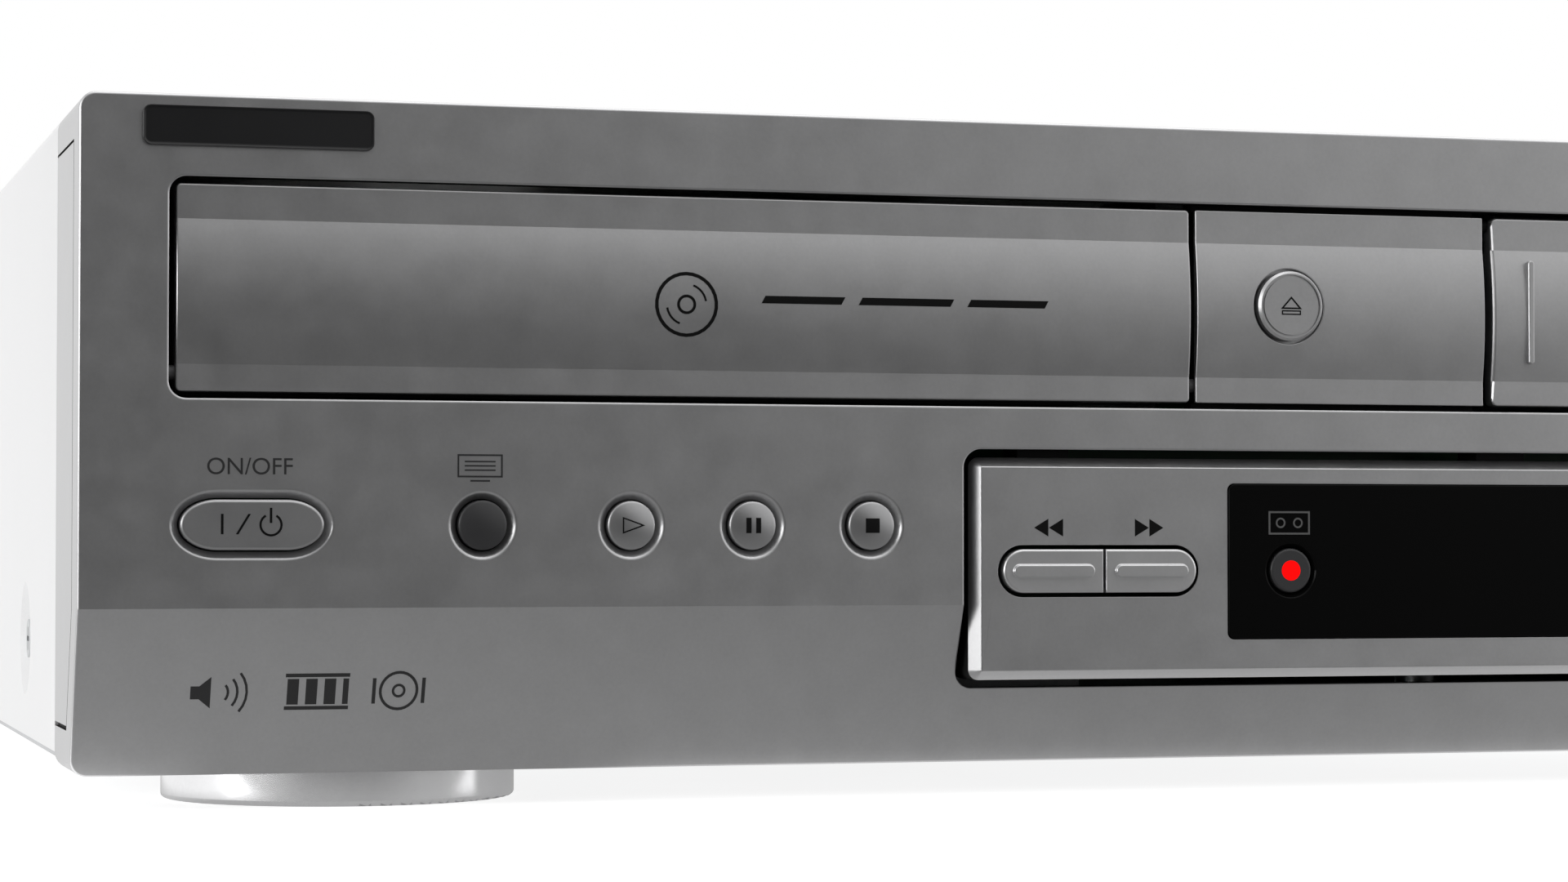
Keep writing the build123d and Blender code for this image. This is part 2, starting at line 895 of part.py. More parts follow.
def make_round_button(x):
    """A domed cap with a flange behind the front wall, and a stem that reaches for its switch."""
    face = front - button_proud
    back = front + bezel_wall + button_behind
    ball = (button_radius ** 2 + button_dome ** 2) / (2 * button_dome)
    dome = Pos(x, face + ball, row_z) * Sphere(ball)
    cap = rod_y(x, face - join, face + button_dome, row_z, button_radius) & dome
    cap += rod_y(x, face + button_dome - join / 10, back, row_z, button_radius)
    flange = rod_y(x, front + bezel_wall + button_travel + button_clearance, back + button_round, row_z,
                   button_radius + button_flange)
    return cap + flange + rod_y(x, front + stem_into, stem_end, row_z, stem_radius)


def make_pill_button(x, length):
    face = front - button_proud
    cap = slab_y(oval(length, power_height, power_end), x, face, front + bezel_wall + button_behind,
                 row_z)
    cap = fillet(front_edges(cap, face), button_round)
    return cap + rod_y(x, front + stem_into, stem_end, row_z, stem_radius)


# Control panel: a bevelled plateau with a skirt that passes through the front moulding
def make_control_panel():
    x0, x1 = control_x0 + control_gap, control_x1 - control_gap
    z0, z1 = control_z0 + control_gap, control_z1 - control_gap
    back = front + control_depth
    panel = slab_y(RectangleRounded(x1 - x0, z1 - z0, control_corner - control_gap),
                   0, front, back, control_middle)
    panel = chamfer(front_edges(panel, front), control_bevel_depth, control_bevel)
    hollow_from = front + control_bevel_depth + control_wall / 2
    panel -= block(x0 + control_wall, x1 - control_wall, hollow_from, back + past,
                   z0 + control_wall, z1 - control_wall)
    panel -= slab_y(RectangleRounded(window_x1 - window_x0 + 2 * window_gap,
                                     window_z1 - window_z0 + 2 * window_gap, window_corner),
                    0, front - past, back, window_middle)
    for x in pill_x.values():
        panel -= slot_y(x, pill_z, pill_length, pill_height, front - past, back)
    # Snap lugs along the top reach behind the edge of the opening
    for x in (x0 + snap_inset, 0, x1 - snap_inset):
        panel += block(x - snap_width / 2, x + snap_width / 2, front + bezel_wall + pan_seam, back,
                       z1 - control_gap, z1 + snap_height)
    return panel


def scan_span(side, half):
    """Both ends, along X, of one half of a long pill; the split stands off the pill's middle."""
    cut = pill_x[side] - side * pill_split + half * pill_gap / 2
    return sorted((cut, pill_x[side] + half * key_length / 2))


def make_scan_button(side, half):
    """Half of a long pill with a raised bar along it."""
    face = front - pill_proud
    back = front + pill_depth
    pill = slot_y(pill_x[side], pill_z, key_length, pill_height - 2 * pill_rim, face, back)
    pill = fillet(front_edges(pill, face), pill_round)
    x0, x1 = scan_span(side, half)
    key = pill & block(x0, x1, face - past, back + past, pill_z - pill_height, pill_z + pill_height)
    x = (x0 + x1) / 2
    key += slot_y(x, pill_z, x1 - x0 - 2 * bar_inset, bar_height, face - bar_proud, face + past)
    return key + rod_y(x, front + stem_into, stem_end, pill_z, stem_radius)


def make_window():
    face = front - window_proud
    window = slab_y(RectangleRounded(window_x1 - window_x0, window_z1 - window_z0, window_corner),
                    0, face, front + window_thickness, window_middle)
    hole = record_radius + window_gap
    window -= rod_y(record_x, face - past, front + window_thickness + past, record_z, hole)
    return window - Pos(record_x, face + record_dish_depth, record_z) * Rot(90, 0, 0) * Cone(
        hole, record_recess, 2 * record_dish_depth)


def make_record_button():
    face = front - window_proud + record_sunk
    cap = rod_y(record_x, face, face + record_length, record_z, record_radius)
    cap = fillet(front_edges(cap, face), pill_round)
    return cap + rod_y(record_x, face + stem_into, stem_end, record_z, stem_radius)


def switch_places():
    places = [(x, row_z) for x in round_keys.values()]
    places += [(x, row_z) for x, length in pill_buttons.values()]
    places += [(sum(scan_span(side, half)) / 2, pill_z) for side, half in scan_keys.values()]
    return places + [(eject_x, eject_z), (record_x, record_z)]


def make_front_boards():
    """The long switch board, and the small one for the eject button above it."""
    y1 = front_board_y + board_thickness
    long_board = block(left + front_board_side, right - front_board_side, front_board_y, y1,
                       control_z0 + front_board_low, front_board_z1)
    eject_board = block(web_x0, web_x1, front_board_y, y1, front_board_z1, eject_z + eject_board_top)
    return [long_board, eject_board]


def make_switches():
    return [Pos(x, front_board_y - switch_depth / 2, z) * Box(switch_size, switch_depth, switch_size)
            for x, z in switch_places()]


def make_display_tube():
    x0 = record_x + record_recess + tube_end_gap
    x1 = window_x1 - tube_end_gap
    y0 = front + control_bevel_depth + tube_back
    z0 = window_middle - tube_height / 2
    tube = block(x0, x1, y0, y0 + tube_depth, z0, window_middle + tube_height / 2)
    for x in (x0 + tube_depth, (x0 + x1) / 2, x1 - tube_depth):
        tube += block(x - tube_leg / 2, x + tube_leg / 2, y0 + past, front_board_y, z0 - tube_leg,
                      z0 + join)
    return tube


def make_name_plate():
    middle = (strip_z1 + top) / 2 + plate_up
    return slab_y(RectangleRounded(plate_length, plate_height, plate_corner),
                  left + plate_in + plate_length / 2, front - plate_thickness, front, middle)


def make_front_sockets():
    y0 = front + front_socket_back
    return [rod_y(x, y0, front_board_y, front_socket_z, socket_radius)
            - rod_y(x, y0 - past, front_board_y - socket_floor, front_socket_z, socket_bore)
            for x in front_socket_places]


# Case: chassis pan, wrap-round cover, rear panel, feet and screws
def make_chassis():
    y0 = front + bezel_depth + pan_seam
    x1 = right - sheet - dimple_depth
    pan = block(-x1, x1, y0, panel_inside, bottom, floor_top)
    for side in (-1, 1):
        a, b = sorted((side * x1, side * (x1 - sheet)))
        pan += block(a, b, y0, panel_inside, bottom, bottom + pan_wall)
    # Two bridges pressed up from the pan carry the disc loader
    a, b = loader_x0 + bracket_inset, loader_x1 - bracket_inset
    for y in (front + bezel_depth + bracket_front, loader_y1 - bracket_rear):
        pan += block(a, b, y, y + sheet, bottom, loader_z0)
        pan += block(a, b, y - bracket_flange, y + join, loader_z0 - sheet, loader_z0)
    for y in (front + dimple_front, rear - dimple_rear):
        pan -= rod_x(left, right, y, bottom + dimple_up, screw_radius + pin_clearance)
    for column in range(vent_columns):
        for row in range(vent_rows):
            x = -vent_side + column * vent_pitch
            y = rear - vent_rear + row * vent_row_pitch
            pan -= block(x, x + vent_width, y, y + vent_length, bottom - past, floor_top + past)
    return pan


def make_cover():
    y0 = front + bezel_depth + cover_seam
    outer = block(left, right, y0, panel_inside, bottom + cover_lift, top)
    outer = fillet(edges_where(outer, lambda c, e: c.Z > top - 0.01 and runs_along_y(e)), corner_round)
    inner = block(left + sheet, right - sheet, y0 - past, panel_inside + past, bottom - past, top - sheet)
    inner = fillet(edges_where(inner, lambda c, e: c.Z > top - sheet - 0.01 and runs_along_y(e)),
                   corner_round - sheet)
    cover = outer - inner
    z = bottom + dimple_up
    for y in (front + dimple_front, rear - dimple_rear):
        for side in (-1, 1):
            turn = Rot(0, side * 90, 0)
            dish = Cone(dimple_floor, dimple_radius, dimple_depth)
            cover += Pos(side * (right - sheet - dimple_depth / 2), y, z) * turn * dish
            cover -= Pos(side * (right - dimple_depth / 2), y, z) * turn * dish
        cover -= rod_x(left - past, right + past, y, z, screw_radius + panel_clearance)
    return cover


def make_foot(x, y):
    foot = rod_z(x, y, 0, foot_height, foot_radius)
    foot = fillet(edges_where(foot, lambda c, e: c.Z < 0.01), foot_round)
    return foot - rod_z(x, y, -past, foot_hollow, foot_hollow_radius)


def screw(along, x, y, z, head_out, length):
    """A cross-head screw whose head stands head_out and whose shank runs the other way."""
    shank = Cylinder(screw_radius, length, align=(Align.CENTER, Align.CENTER, Align.MAX))
    head = Cylinder(screw_head_radius, head_out, align=(Align.CENTER, Align.CENTER, Align.MIN))
    slot = Pos(0, 0, head_out - screw_slot_depth) * Box(
        screw_head_radius * 1.2, screw_slot, screw_slot_depth + past,
        align=(Align.CENTER, Align.CENTER, Align.MIN))
    return Pos(x, y, z) * along * (shank + head - slot - Rot(0, 0, 90) * slot)


def make_cover_screws():
    return [screw(Rot(0, side * 90, 0), side * (right - dimple_depth), y, bottom + dimple_up,
                  screw_head, screw_length)
            for y in (front + dimple_front, rear - dimple_rear) for side in (-1, 1)]


def make_rear_panel():
    edge = sheet + panel_clearance
    panel = block(left + edge, right - edge, panel_inside, rear, bottom, top - edge)
    y0, y1 = panel_inside - past, rear + past
    for x, z in jack_places:
        panel -= rod_y(x, y0, y1, z, socket_radius - socket_step + panel_clearance)
    for x, z in aerial_places:
        panel -= rod_y(x, y0, y1, z, aerial_radius - socket_step + panel_clearance)
    half_width = inlet_width / 2 + panel_clearance
    half_height = inlet_height / 2 + panel_clearance
    panel -= block(inlet_x - half_width, inlet_x + half_width, y0, y1,
                   inlet_z - half_height, inlet_z + half_height)
    for i in range(rear_vents):
        x = inlet_x + rear_vent_side + i * rear_vent_pitch
        panel -= block(x, x + vent_width, y0, y1, bottom + rear_vent_low,
                       bottom + rear_vent_low + rear_vent_height)
    return panel


# Rear connections
def make_jack_block():
    xs = [x for x, z in jack_places]
    zs = [z for x, z in jack_places]
    body = block(min(xs) - jack_block_margin, max(xs) + jack_block_margin,
                 panel_inside - jack_block_depth, panel_inside,
                 min(zs) - jack_block_margin, max(zs) + jack_block_margin)
    return body - [rod_y(x, panel_inside - jack_tail, rear, z, socket_radius - socket_step)
                   for x, z in jack_places]


def make_jack_shell(x, z):
    shell = rod_y(x, rear, rear + socket_proud, z, socket_radius)
    shell += rod_y(x, panel_inside - jack_tail, rear + join, z, socket_radius - socket_step)
    return shell - rod_y(x, panel_inside - socket_floor, rear + socket_proud + past, z, socket_bore)


def make_tuner():
    can = block(tuner_x - tuner_width / 2, tuner_x + tuner_width / 2, tuner_y0, panel_inside,
                tuner_z - tuner_height / 2, tuner_z + tuner_height / 2)
    for x, z in aerial_places:
        plug = rod_y(x, rear, rear + connector_proud, z, aerial_radius)
        plug += rod_y(x, panel_inside - join, rear + join, z, aerial_radius - socket_step)
        can += plug - rod_y(x, rear, rear + connector_proud + past, z, aerial_bore)
    return can


def make_inlet():
    """Mains inlet with a figure-of-eight recess round two pins."""
    face = rear + inlet_rim_proud
    width_half, height_half = inlet_width / 2, inlet_height / 2
    body = block(inlet_x - width_half, inlet_x + width_half, panel_inside - inlet_depth, face,
                 inlet_z - height_half, inlet_z + height_half)
    body += block(inlet_x - width_half - inlet_rim, inlet_x + width_half + inlet_rim, rear, face,
                  inlet_z - height_half - inlet_rim, inlet_z + height_half + inlet_rim)
    pins = [inlet_x + side * inlet_pin_pitch / 2 for side in (-1, 1)]
    body -= [rod_y(x, face - inlet_recess, face + past, inlet_z, inlet_lobe) for x in pins]
    body -= block(pins[0], pins[1], face - inlet_recess, face + past,
                  inlet_z - inlet_waist, inlet_z + inlet_waist)
    return body + [rod_y(x, face - inlet_recess - join, face - inlet_pin_short, inlet_z,
                         inlet_pin_radius) for x in pins]


# Boards on the floor of the case, with what stands on them
def make_board(x0, x1):
    board = block(x0, x1, board_y0, board_y1, board_z0, board_z1)
    for x in (x0 + standoff_inset, x1 - standoff_inset):
        for y in (board_y0 + standoff_inset, board_y1 - standoff_inset):
            board += rod_z(x, y, floor_top, board_z0, standoff_radius)
    return board


def make_transformer():
    x = power_board_x0 + transformer_in
    y = board_y1 - transformer_rear
    core = centred(x, y, core_width, core_depth, board_z1, board_z1 + core_height)
    window_x = core_width / 2 - core_limb - core_window / 2
    for side in (-1, 1):
        core -= centred(x + side * window_x, y, core_window, core_depth + 2 * past,
                        board_z1 + core_yoke, board_z1 + core_height - core_yoke)
    winding_width = core_width - 2 * core_limb - winding_gap * 2
    windings = [centred(x, y + side * (core_depth / 2 + winding_gap / 2 + winding_depth / 2),
                        winding_width, winding_depth, board_z1, board_z1 + core_height - core_yoke / 2)
                for side in (-1, 1)]
    return [core, *windings]


def make_heat_sink():
    x = power_board_x0 + sink_in
    y = board_y0 + sink_front
    sink = centred(x, y + sink_length / 2, sink_thickness, sink_length, board_z1, board_z1 + sink_height)
    for i in range(fin_count):
        fin_y = y + fin_from + i * fin_pitch
        fin_x = x + sink_thickness / 2 - join
        sink += block(fin_x, fin_x + fin_length, fin_y, fin_y + fin_thickness,
                      board_z1 + fin_low, board_z1 + sink_height)
    return sink


def make_capacitors():
    """Smoothing capacitors: the big one near the back, the small ones near the front."""
    cans = [(66, board_y1 - board_y0 - capacitor_rear, 11, 30), (66, 60, 6, 22), (66, 40, 6, 22),
            (46, 40, 5, 18), (30, 40, 5, 18), (46, 56, 4, 14)]
    return [rod_z(power_board_x0 + x, board_y0 + y, board_z1, board_z1 + height, radius)
            for x, y, radius, height in cans]


def make_chips():
    chips = [(30, 60, 28), (62, 95, 20), (30, 120, 16), (70, 40, 14)]
    return [centred(main_board_x0 + x, board_y0 + y, size, size, board_z1, board_z1 + chip_height)
            for x, y, size in chips]


# Teeth of the drawer's gear and rack
def involute(angle):
    return math.tan(angle) - angle


def gear_outline():
    """Involute teeth; one of them points along +X."""
    pressure = math.radians(pressure_angle)
    base = gear_radius * math.cos(pressure)
    tip = gear_radius + tooth_tip * gear_module
    root = gear_radius - 1.25 * gear_module
    half = math.pi / (2 * gear_teeth) - tooth_backlash / (2 * gear_radius)
    steps = 4
    flank = []
    low = max(base, root)
    for i in range(steps + 1):
        r = low + (tip - low) * i / steps
        flank.append((r, half + involute(pressure) - involute(math.acos(min(1.0, base / r)))))
    if root < base:
        flank.insert(0, (root, flank[0][1]))
    points = []
    for k in range(gear_teeth):
        centre = 2 * math.pi * k / gear_teeth
        points += [(r * math.cos(centre - turn), r * math.sin(centre - turn)) for r, turn in flank]
        points += [(r * math.cos(centre + turn), r * math.sin(centre + turn))
                   for r, turn in reversed(flank)]
    return make_face(Polyline(*points, close=True))


def rack_teeth(z0, z1):
    """Straight-sided teeth that face +X, with a gap centred on the gear's axis."""
    pitch = math.pi * gear_module
    slope = math.tan(math.radians(pressure_angle))
    half = pitch / 4 - tooth_backlash / 2
    foot_x = rack_x - rack_root * gear_module
    tip_x = rack_x + tooth_tip * gear_module
    foot_half = half + rack_root * gear_module * slope
    tip_half = half - tooth_tip * gear_module * slope
    first = math.ceil((rack_y0 - gear_y) / pitch - 0.5)
    last = math.floor((rack_y1 - gear_y) / pitch - 0.5)
    teeth = []
    for k in range(first, last + 1):
        y = gear_y + (k + 0.5) * pitch
        tooth = Polyline((foot_x, y - foot_half), (tip_x, y - tip_half), (tip_x, y + tip_half),
                         (foot_x, y + foot_half), close=True)
        teeth.append(Pos(0, 0, z0) * extrude(make_face(tooth), z1 - z0))
    return teeth


# Disc drawer, the frame it runs in and its drive
def make_tray():
    plate = block(tray_x0, tray_x1, tray_y0, tray_y1, tray_z0, tray_z1)
    corners = edges_where(plate, lambda c, e: abs(e.tangent_at(0.5).Z) > 0.99 and c.Y < tray_y0 + past)
    plate = fillet(corners, tray_corner)
    plate -= rod_z(tray_x, disc_y, tray_z1 - well_depth, tray_z1 + past, disc_radius + well_clearance)
    # Slot for the turntable and the pickup, open towards the back
    plate -= rod_z(tray_x, disc_y, tray_z0 - past, tray_z1 + past, slot_width / 2)
    plate -= block(tray_x - slot_width / 2, tray_x + slot_width / 2, disc_y, tray_y1 + past,
                   tray_z0 - past, tray_z1 + past)
    # Rack rail on the left, plain runner on the right
    plate += block(rail_x0, rail_x0 + rail_width, rack_y0, rack_y1, rail_z0, tray_z0 + join)
    plate += rack_teeth(rail_z0, tray_z0 - gear_gap)
    plate += block(tray_x1 - rail_inset - rail_width, tray_x1 - rail_inset, rack_y0, tray_y1,
                   rail_z0, tray_z0 + join)
    return plate


def make_loader_frame():
    frame = block(loader_x0, loader_x1, loader_y0, loader_y1, loader_z0, loader_z1)
    half = traverse_width / 2 + slide_clearance * 10
    frame -= block(tray_x - half, tray_x + half, disc_y - traverse_front - bracket_flange,
                   traverse_pivot_y + rack_end, loader_z0 - past, loader_z1 + past)
    for side in (-1, 1):
        # Side wall, the ledge that carries the edge of the tray, and the tabs that keep it down
        outside = tray_x + side * (tray_width / 2 + loader_side)
        wall = outside - side * loader_wall
        inside = tray_x + side * (tray_width / 2 - ledge_width)
        a, b = sorted((outside, wall))
        frame += block(a, b, loader_y0, loader_y1, loader_z1 - join, bridge_z)
        a, b = sorted((wall, inside))
        ledge_z = tray_z0 - slide_clearance
        frame += block(a, b, loader_y0, loader_y1, ledge_z - ledge_thickness, ledge_z)
        for y in (loader_y0 + tab_front, loader_y1 - tab_rear):
            frame += block(a, b, y, y + tab_length, tray_z1 + slide_clearance, bridge_z)
        # Seat for one pivot of the traverse
        x = tray_x + side * (traverse_width / 2 + seat_gap)
        seat = centred(x, traverse_pivot_y, seat_size, 2 * seat_size, loader_z1 - join,
                       traverse_z + seat_size)
        frame += seat - rod_x(x - seat_size, x + seat_size, traverse_pivot_y, traverse_z,
                              traverse_pivot_radius + pin_clearance)
    frame += rod_z(gear_x, gear_y, loader_z1 - join, tray_z0 - gear_gap - join, gear_post)
    return frame - rod_z(motor_x, motor_y, loader_z0 - past, loader_z1 + past, 2 * motor_shaft)


def make_bridge():
    bridge = centred(tray_x, disc_y, loader_x1 - loader_x0, bridge_width, bridge_z,
                     bridge_z + bridge_thickness)
    return bridge - rod_z(tray_x, disc_y, bridge_z - past, bridge_z + bridge_thickness + past,
                          bridge_hole)


def make_clamp():
    """Disc clamp that hangs loosely in the bridge's hole by its flange."""
    z0 = rest_z + disc_thickness + clamp_gap
    lid_z = bridge_z + bridge_thickness + gear_gap
    clamp = rod_z(tray_x, disc_y, z0, bridge_z - clamp_play, clamp_radius)
    clamp += rod_z(tray_x, disc_y, z0, lid_z + clamp_lid, clamp_neck)
    clamp += rod_z(tray_x, disc_y, lid_z, lid_z + clamp_lid, clamp_flange)
    return clamp - rod_z(tray_x, disc_y, z0 - past, z0 + clamp_recess, cone_radius + clamp_recess_gap)


def make_turntable():
    table = rod_z(tray_x, disc_y, rest_z - turntable_thickness, rest_z, turntable_radius)
    table += Pos(tray_x, disc_y, rest_z + cone_height / 2) * Cone(
        cone_radius, cone_radius - cone_taper, cone_height)
    return table + rod_z(tray_x, disc_y, traverse_z - standoff + traverse_thickness,
                         rest_z - turntable_thickness + join, spindle_radius)


def make_traverse():
    half = traverse_width / 2
    z0, z1 = traverse_z - traverse_thickness / 2, traverse_z + traverse_thickness / 2
    plate = block(tray_x - half, tray_x + half, disc_y - traverse_front,
                  traverse_pivot_y + traverse_pivot_radius + past, z0, z1)
    ears = (disc_y + ear_front, traverse_pivot_y - ear_rear)
    plate -= block(tray_x - traverse_window / 2, tray_x + traverse_window / 2, ears[0] - past,
                   ears[1] - past, z0 - past, z1 + past)
    plate -= rod_z(tray_x, disc_y, z0 - past, z1 + past, spindle_radius + pin_clearance)
    plate += rod_x(tray_x - half - traverse_pin_length, tray_x + half + traverse_pin_length,
                   traverse_pivot_y, traverse_z, traverse_pivot_radius)
    for side in (-1, 1):
        x = tray_x + side * rod_spacing / 2
        for y in ears:
            ear = centred(x, y, ear_width, ear_thickness, traverse_z - ear_depth, traverse_z)
            plate += ear - rod_y(x, y - ear_thickness, y + ear_thickness, rod_z0, rod_radius)
    return plate


def make_guide_rods():
    y0 = disc_y + ear_front - ear_thickness / 2
    y1 = traverse_pivot_y - ear_rear + ear_thickness / 2
    return [rod_y(tray_x + side * rod_spacing / 2, y0, y1, rod_z0, rod_radius) for side in (-1, 1)]


def make_spindle_motor():
    z0 = traverse_z - spindle_motor_depth
    motor = rod_z(tray_x, disc_y, z0, traverse_z - traverse_thickness / 2, spindle_motor_radius)
    return motor - rod_z(tray_x, disc_y, z0 + ear_thickness, traverse_z, spindle_radius + pin_clearance)


def make_sled():
    half = rod_spacing / 2 + sled_margin
    top_z = traverse_z - sled_top_gap
    y1 = sled_y0 + sled_length
    sled = block(tray_x - half, tray_x + half, sled_y0, y1, traverse_z - sled_low, top_z)
    for side in (-1, 1):
        sled -= rod_y(tray_x + side * rod_spacing / 2, sled_y0 - past, y1 + past, rod_z0,
                      rod_radius + pin_clearance)
    return sled + block(tray_x - pickup_width / 2, tray_x + pickup_width / 2,
                        sled_y0 + 2 * past, y1 - 2 * past, top_z - join, lens_z - lens_height)


def make_lens():
    return rod_z(tray_x, sled_y0 + lens_in, lens_z - lens_height, lens_z, lens_radius)


def belt_groove(x, y, radius):
    """Ring cut that leaves a groove of the given inner radius for the belt."""
    groove = rod_z(x, y, loader_z1 + groove_low, loader_z1 + groove_high, 2 * radius)
    return groove - rod_z(x, y, loader_z1, loader_z1 + motor_pulley_height, radius)


def make_tray_gear():
    z0 = rail_z0 + gear_gap
    z1 = tray_z0 - 2 * gear_gap
    gear = Pos(gear_x, gear_y, z0) * extrude(gear_outline(), z1 - z0)
    gear += rod_z(gear_x, gear_y, loader_z1 + pulley_low, rail_z0 - pulley_low,
                  drive_pulley_radius + pulley_rim)
    gear += rod_z(gear_x, gear_y, rail_z0 - 2 * pulley_low, z0 + join, gear_hub)
    gear -= belt_groove(gear_x, gear_y, drive_pulley_radius)
    return gear - rod_z(gear_x, gear_y, loader_z1, tray_z1, gear_post + gear_clearance)


def make_belt():
    def loop(thickness):
        return make_hull((Pos(gear_x, gear_y) * Circle(drive_pulley_radius + thickness)).edges()
                         + (Pos(motor_x, motor_y) * Circle(motor_pulley_radius + thickness)).edges())
    z0 = loader_z1 + (groove_low + groove_high - belt_width) / 2
    return Pos(0, 0, z0) * extrude(loop(belt_slack + belt_thickness) - loop(belt_slack), belt_width)


def make_loader_motor():
    motor = rod_z(motor_x, motor_y, loader_z0 - motor_height, loader_z0, motor_radius)
    return motor - rod_z(motor_x, motor_y, loader_z0 - 4 * motor_shaft, loader_z0 + past,
                         motor_shaft + gear_clearance)


def make_motor_pulley():
    pulley = rod_z(motor_x, motor_y, loader_z1 + past, loader_z1 + motor_pulley_height,
                   motor_pulley_radius + pulley_rim)
    pulley -= belt_groove(motor_x, motor_y, motor_pulley_radius)
    return pulley + rod_z(motor_x, motor_y, loader_z0 - 3.5 * motor_shaft, loader_z1 + past + join,
                          motor_shaft)


# Tape deck
def guide_slot_cut(x):
    z0, z1 = deck_z0 - past, deck_z1 + past
    cut = block(x - guide_slot / 2, x + guide_slot / 2, guide_y, guide_y + guide_travel, z0, z1)
    return cut + [rod_z(x, y, z0, z1, guide_slot / 2) for y in (guide_y, guide_y + guide_travel)]


def make_deck():
    deck = block(deck_x0, deck_x1, deck_y0, deck_y1, deck_z0, deck_z1)
    for side in (-1, 1):
        deck -= guide_slot_cut(deck_x + side * guide_side)
        deck += rod_z(deck_x + side * reel_spacing / 2, reel_y, deck_z0, deck_z1 + reel_post_height,
                      reel_post)
    deck -= rod_z(capstan_x, capstan_y, deck_z0 - past, deck_z1 + past, capstan_radius + pin_clearance)
    deck += rod_z(pinch_pivot_x, pinch_pivot_y, deck_z0, deck_z1 + reel_hub_height, pinch_pivot_radius)
    for x in (deck_x0 + deck_leg_inset, deck_x1 - deck_leg_inset):
        for y in (deck_y0 + deck_leg_inset, deck_y1 - deck_leg_inset):
            deck += rod_z(x, y, floor_top, deck_z0 + join, deck_leg)
    # Uprights that guide the cassette holder
    for x in (deck_x0, deck_x1 - upright_thickness):
        for y in (holder_y0 + upright_width / 2, holder_y1 - 1.5 * upright_width):
            deck += block(x, x + upright_thickness, y, y + upright_width, deck_z1 - join,
                          holder_z1 + upright_top)
    return deck


def make_holder():
    holder = block(holder_x0, holder_x1, holder_y0, holder_y1, holder_z0, holder_z1)
    inside_x0, inside_x1 = holder_x0 + holder_wall, holder_x1 - holder_wall
    holder -= block(inside_x0, inside_x1, holder_y0 - past, holder_y1 + past, slot_z0,
                    holder_z1 - holder_wall)
    holder -= block(inside_x0 + holder_ledge, inside_x1 - holder_ledge, holder_y0 - past,
                    holder_y1 + past, holder_z0 - past, slot_z0 + past)
    # Stops behind the cassette, and pins that run against the deck's uprights
    for side in (-1, 1):
        x = deck_x + side * (cassette_width / 2 - holder_stop_in)
        holder += block(x - holder_stop / 2, x + holder_stop / 2, holder_y1 - holder_wall, holder_y1,
                        slot_z0 - holder_wall / 2, slot_z0 + holder_stop_height)
        edge = holder_x0 if side < 0 else holder_x1
        upright = deck_x0 + upright_thickness if side < 0 else deck_x1 - upright_thickness
        a, b = sorted((edge, upright - side * holder_pin_gap))
        for y in (holder_y0 + upright_width, holder_y1 - upright_width):
            holder += rod_x(a, b, y, holder_z1 - 3 * holder_pin, holder_pin)
    return holder


def make_lower_drum():
    drum = rod_z(deck_x, drum_y, deck_z1, deck_z1 + lower_drum_height, drum_radius)
    drum += block(deck_x - drum_foot_width / 2, deck_x + drum_foot_width / 2, drum_y - drum_foot_front,
                  drum_y + drum_radius + past, deck_z1, deck_z1 + drum_foot_height)
    return drum - rod_z(deck_x, drum_y, deck_z1 + drum_foot_height / 2,
                        deck_z1 + lower_drum_height + past, drum_shaft + pin_clearance)


def make_upper_drum():
    z0 = deck_z1 + lower_drum_height + drum_gap
    z1 = z0 + upper_drum_height
    drum = rod_z(deck_x, drum_y, z0, z1, drum_radius)
    drum += rod_z(deck_x, drum_y, z1 - join, z1 + drum_hub_height, drum_hub)
    return drum + rod_z(deck_x, drum_y, deck_z1 + drum_foot_height / 2 + past, z0 + join, drum_shaft)


def make_capstan():
    z0 = floor_top + flywheel_gap
    shaft = rod_z(capstan_x, capstan_y, z0, deck_z1 + capstan_height, capstan_radius)
    return shaft + rod_z(capstan_x, capstan_y, z0, z0 + flywheel_height, flywheel_radius)


def make_reel(side):
    x = deck_x + side * reel_spacing / 2
    flange_z = deck_z1 + reel_lift + reel_flange
    hub_z = flange_z + reel_hub_height
    reel = rod_z(x, reel_y, deck_z1 + reel_lift, flange_z, reel_radius)
    reel += rod_z(x, reel_y, flange_z - join, hub_z, reel_hub)
    for k in range(reel_splines):
        reel += Pos(x, reel_y, 0) * Rot(0, 0, 360 * k / reel_splines) * block(
            reel_hub - reel_lift, spline_reach, -spline_width / 2, spline_width / 2, flange_z,
            hub_z - past)
    return reel - rod_z(x, reel_y, deck_z1, deck_z1 + reel_post_height + drum_gap,
                        reel_post + pin_clearance)


def make_pinch_arm():
    z0 = deck_z1 + past
    z1 = z0 + pinch_arm_thickness
    eye = rod_z(pinch_pivot_x, pinch_pivot_y, z0, z0 + 2 * pinch_arm_thickness, pinch_eye)
    tip = rod_z(pinch_x, pinch_y, z0, z1, pinch_eye - past)
    bar = Pos(pinch_pivot_x, pinch_pivot_y, 0) * Rot(0, 0, math.degrees(pinch_turn)) * block(
        0, pinch_reach, -pinch_arm_width / 2, pinch_arm_width / 2, z0, z1)
    arm = eye + tip + bar
    arm -= rod_z(pinch_pivot_x, pinch_pivot_y, z0 - past, z0 + 2 * pinch_arm_thickness + past,
                 pinch_pivot_radius + pin_clearance)
    axle_top = z0 + pinch_roller_low + pinch_roller_height + 2 * past
    return arm + rod_z(pinch_x, pinch_y, z0 + past, axle_top, pinch_axle)


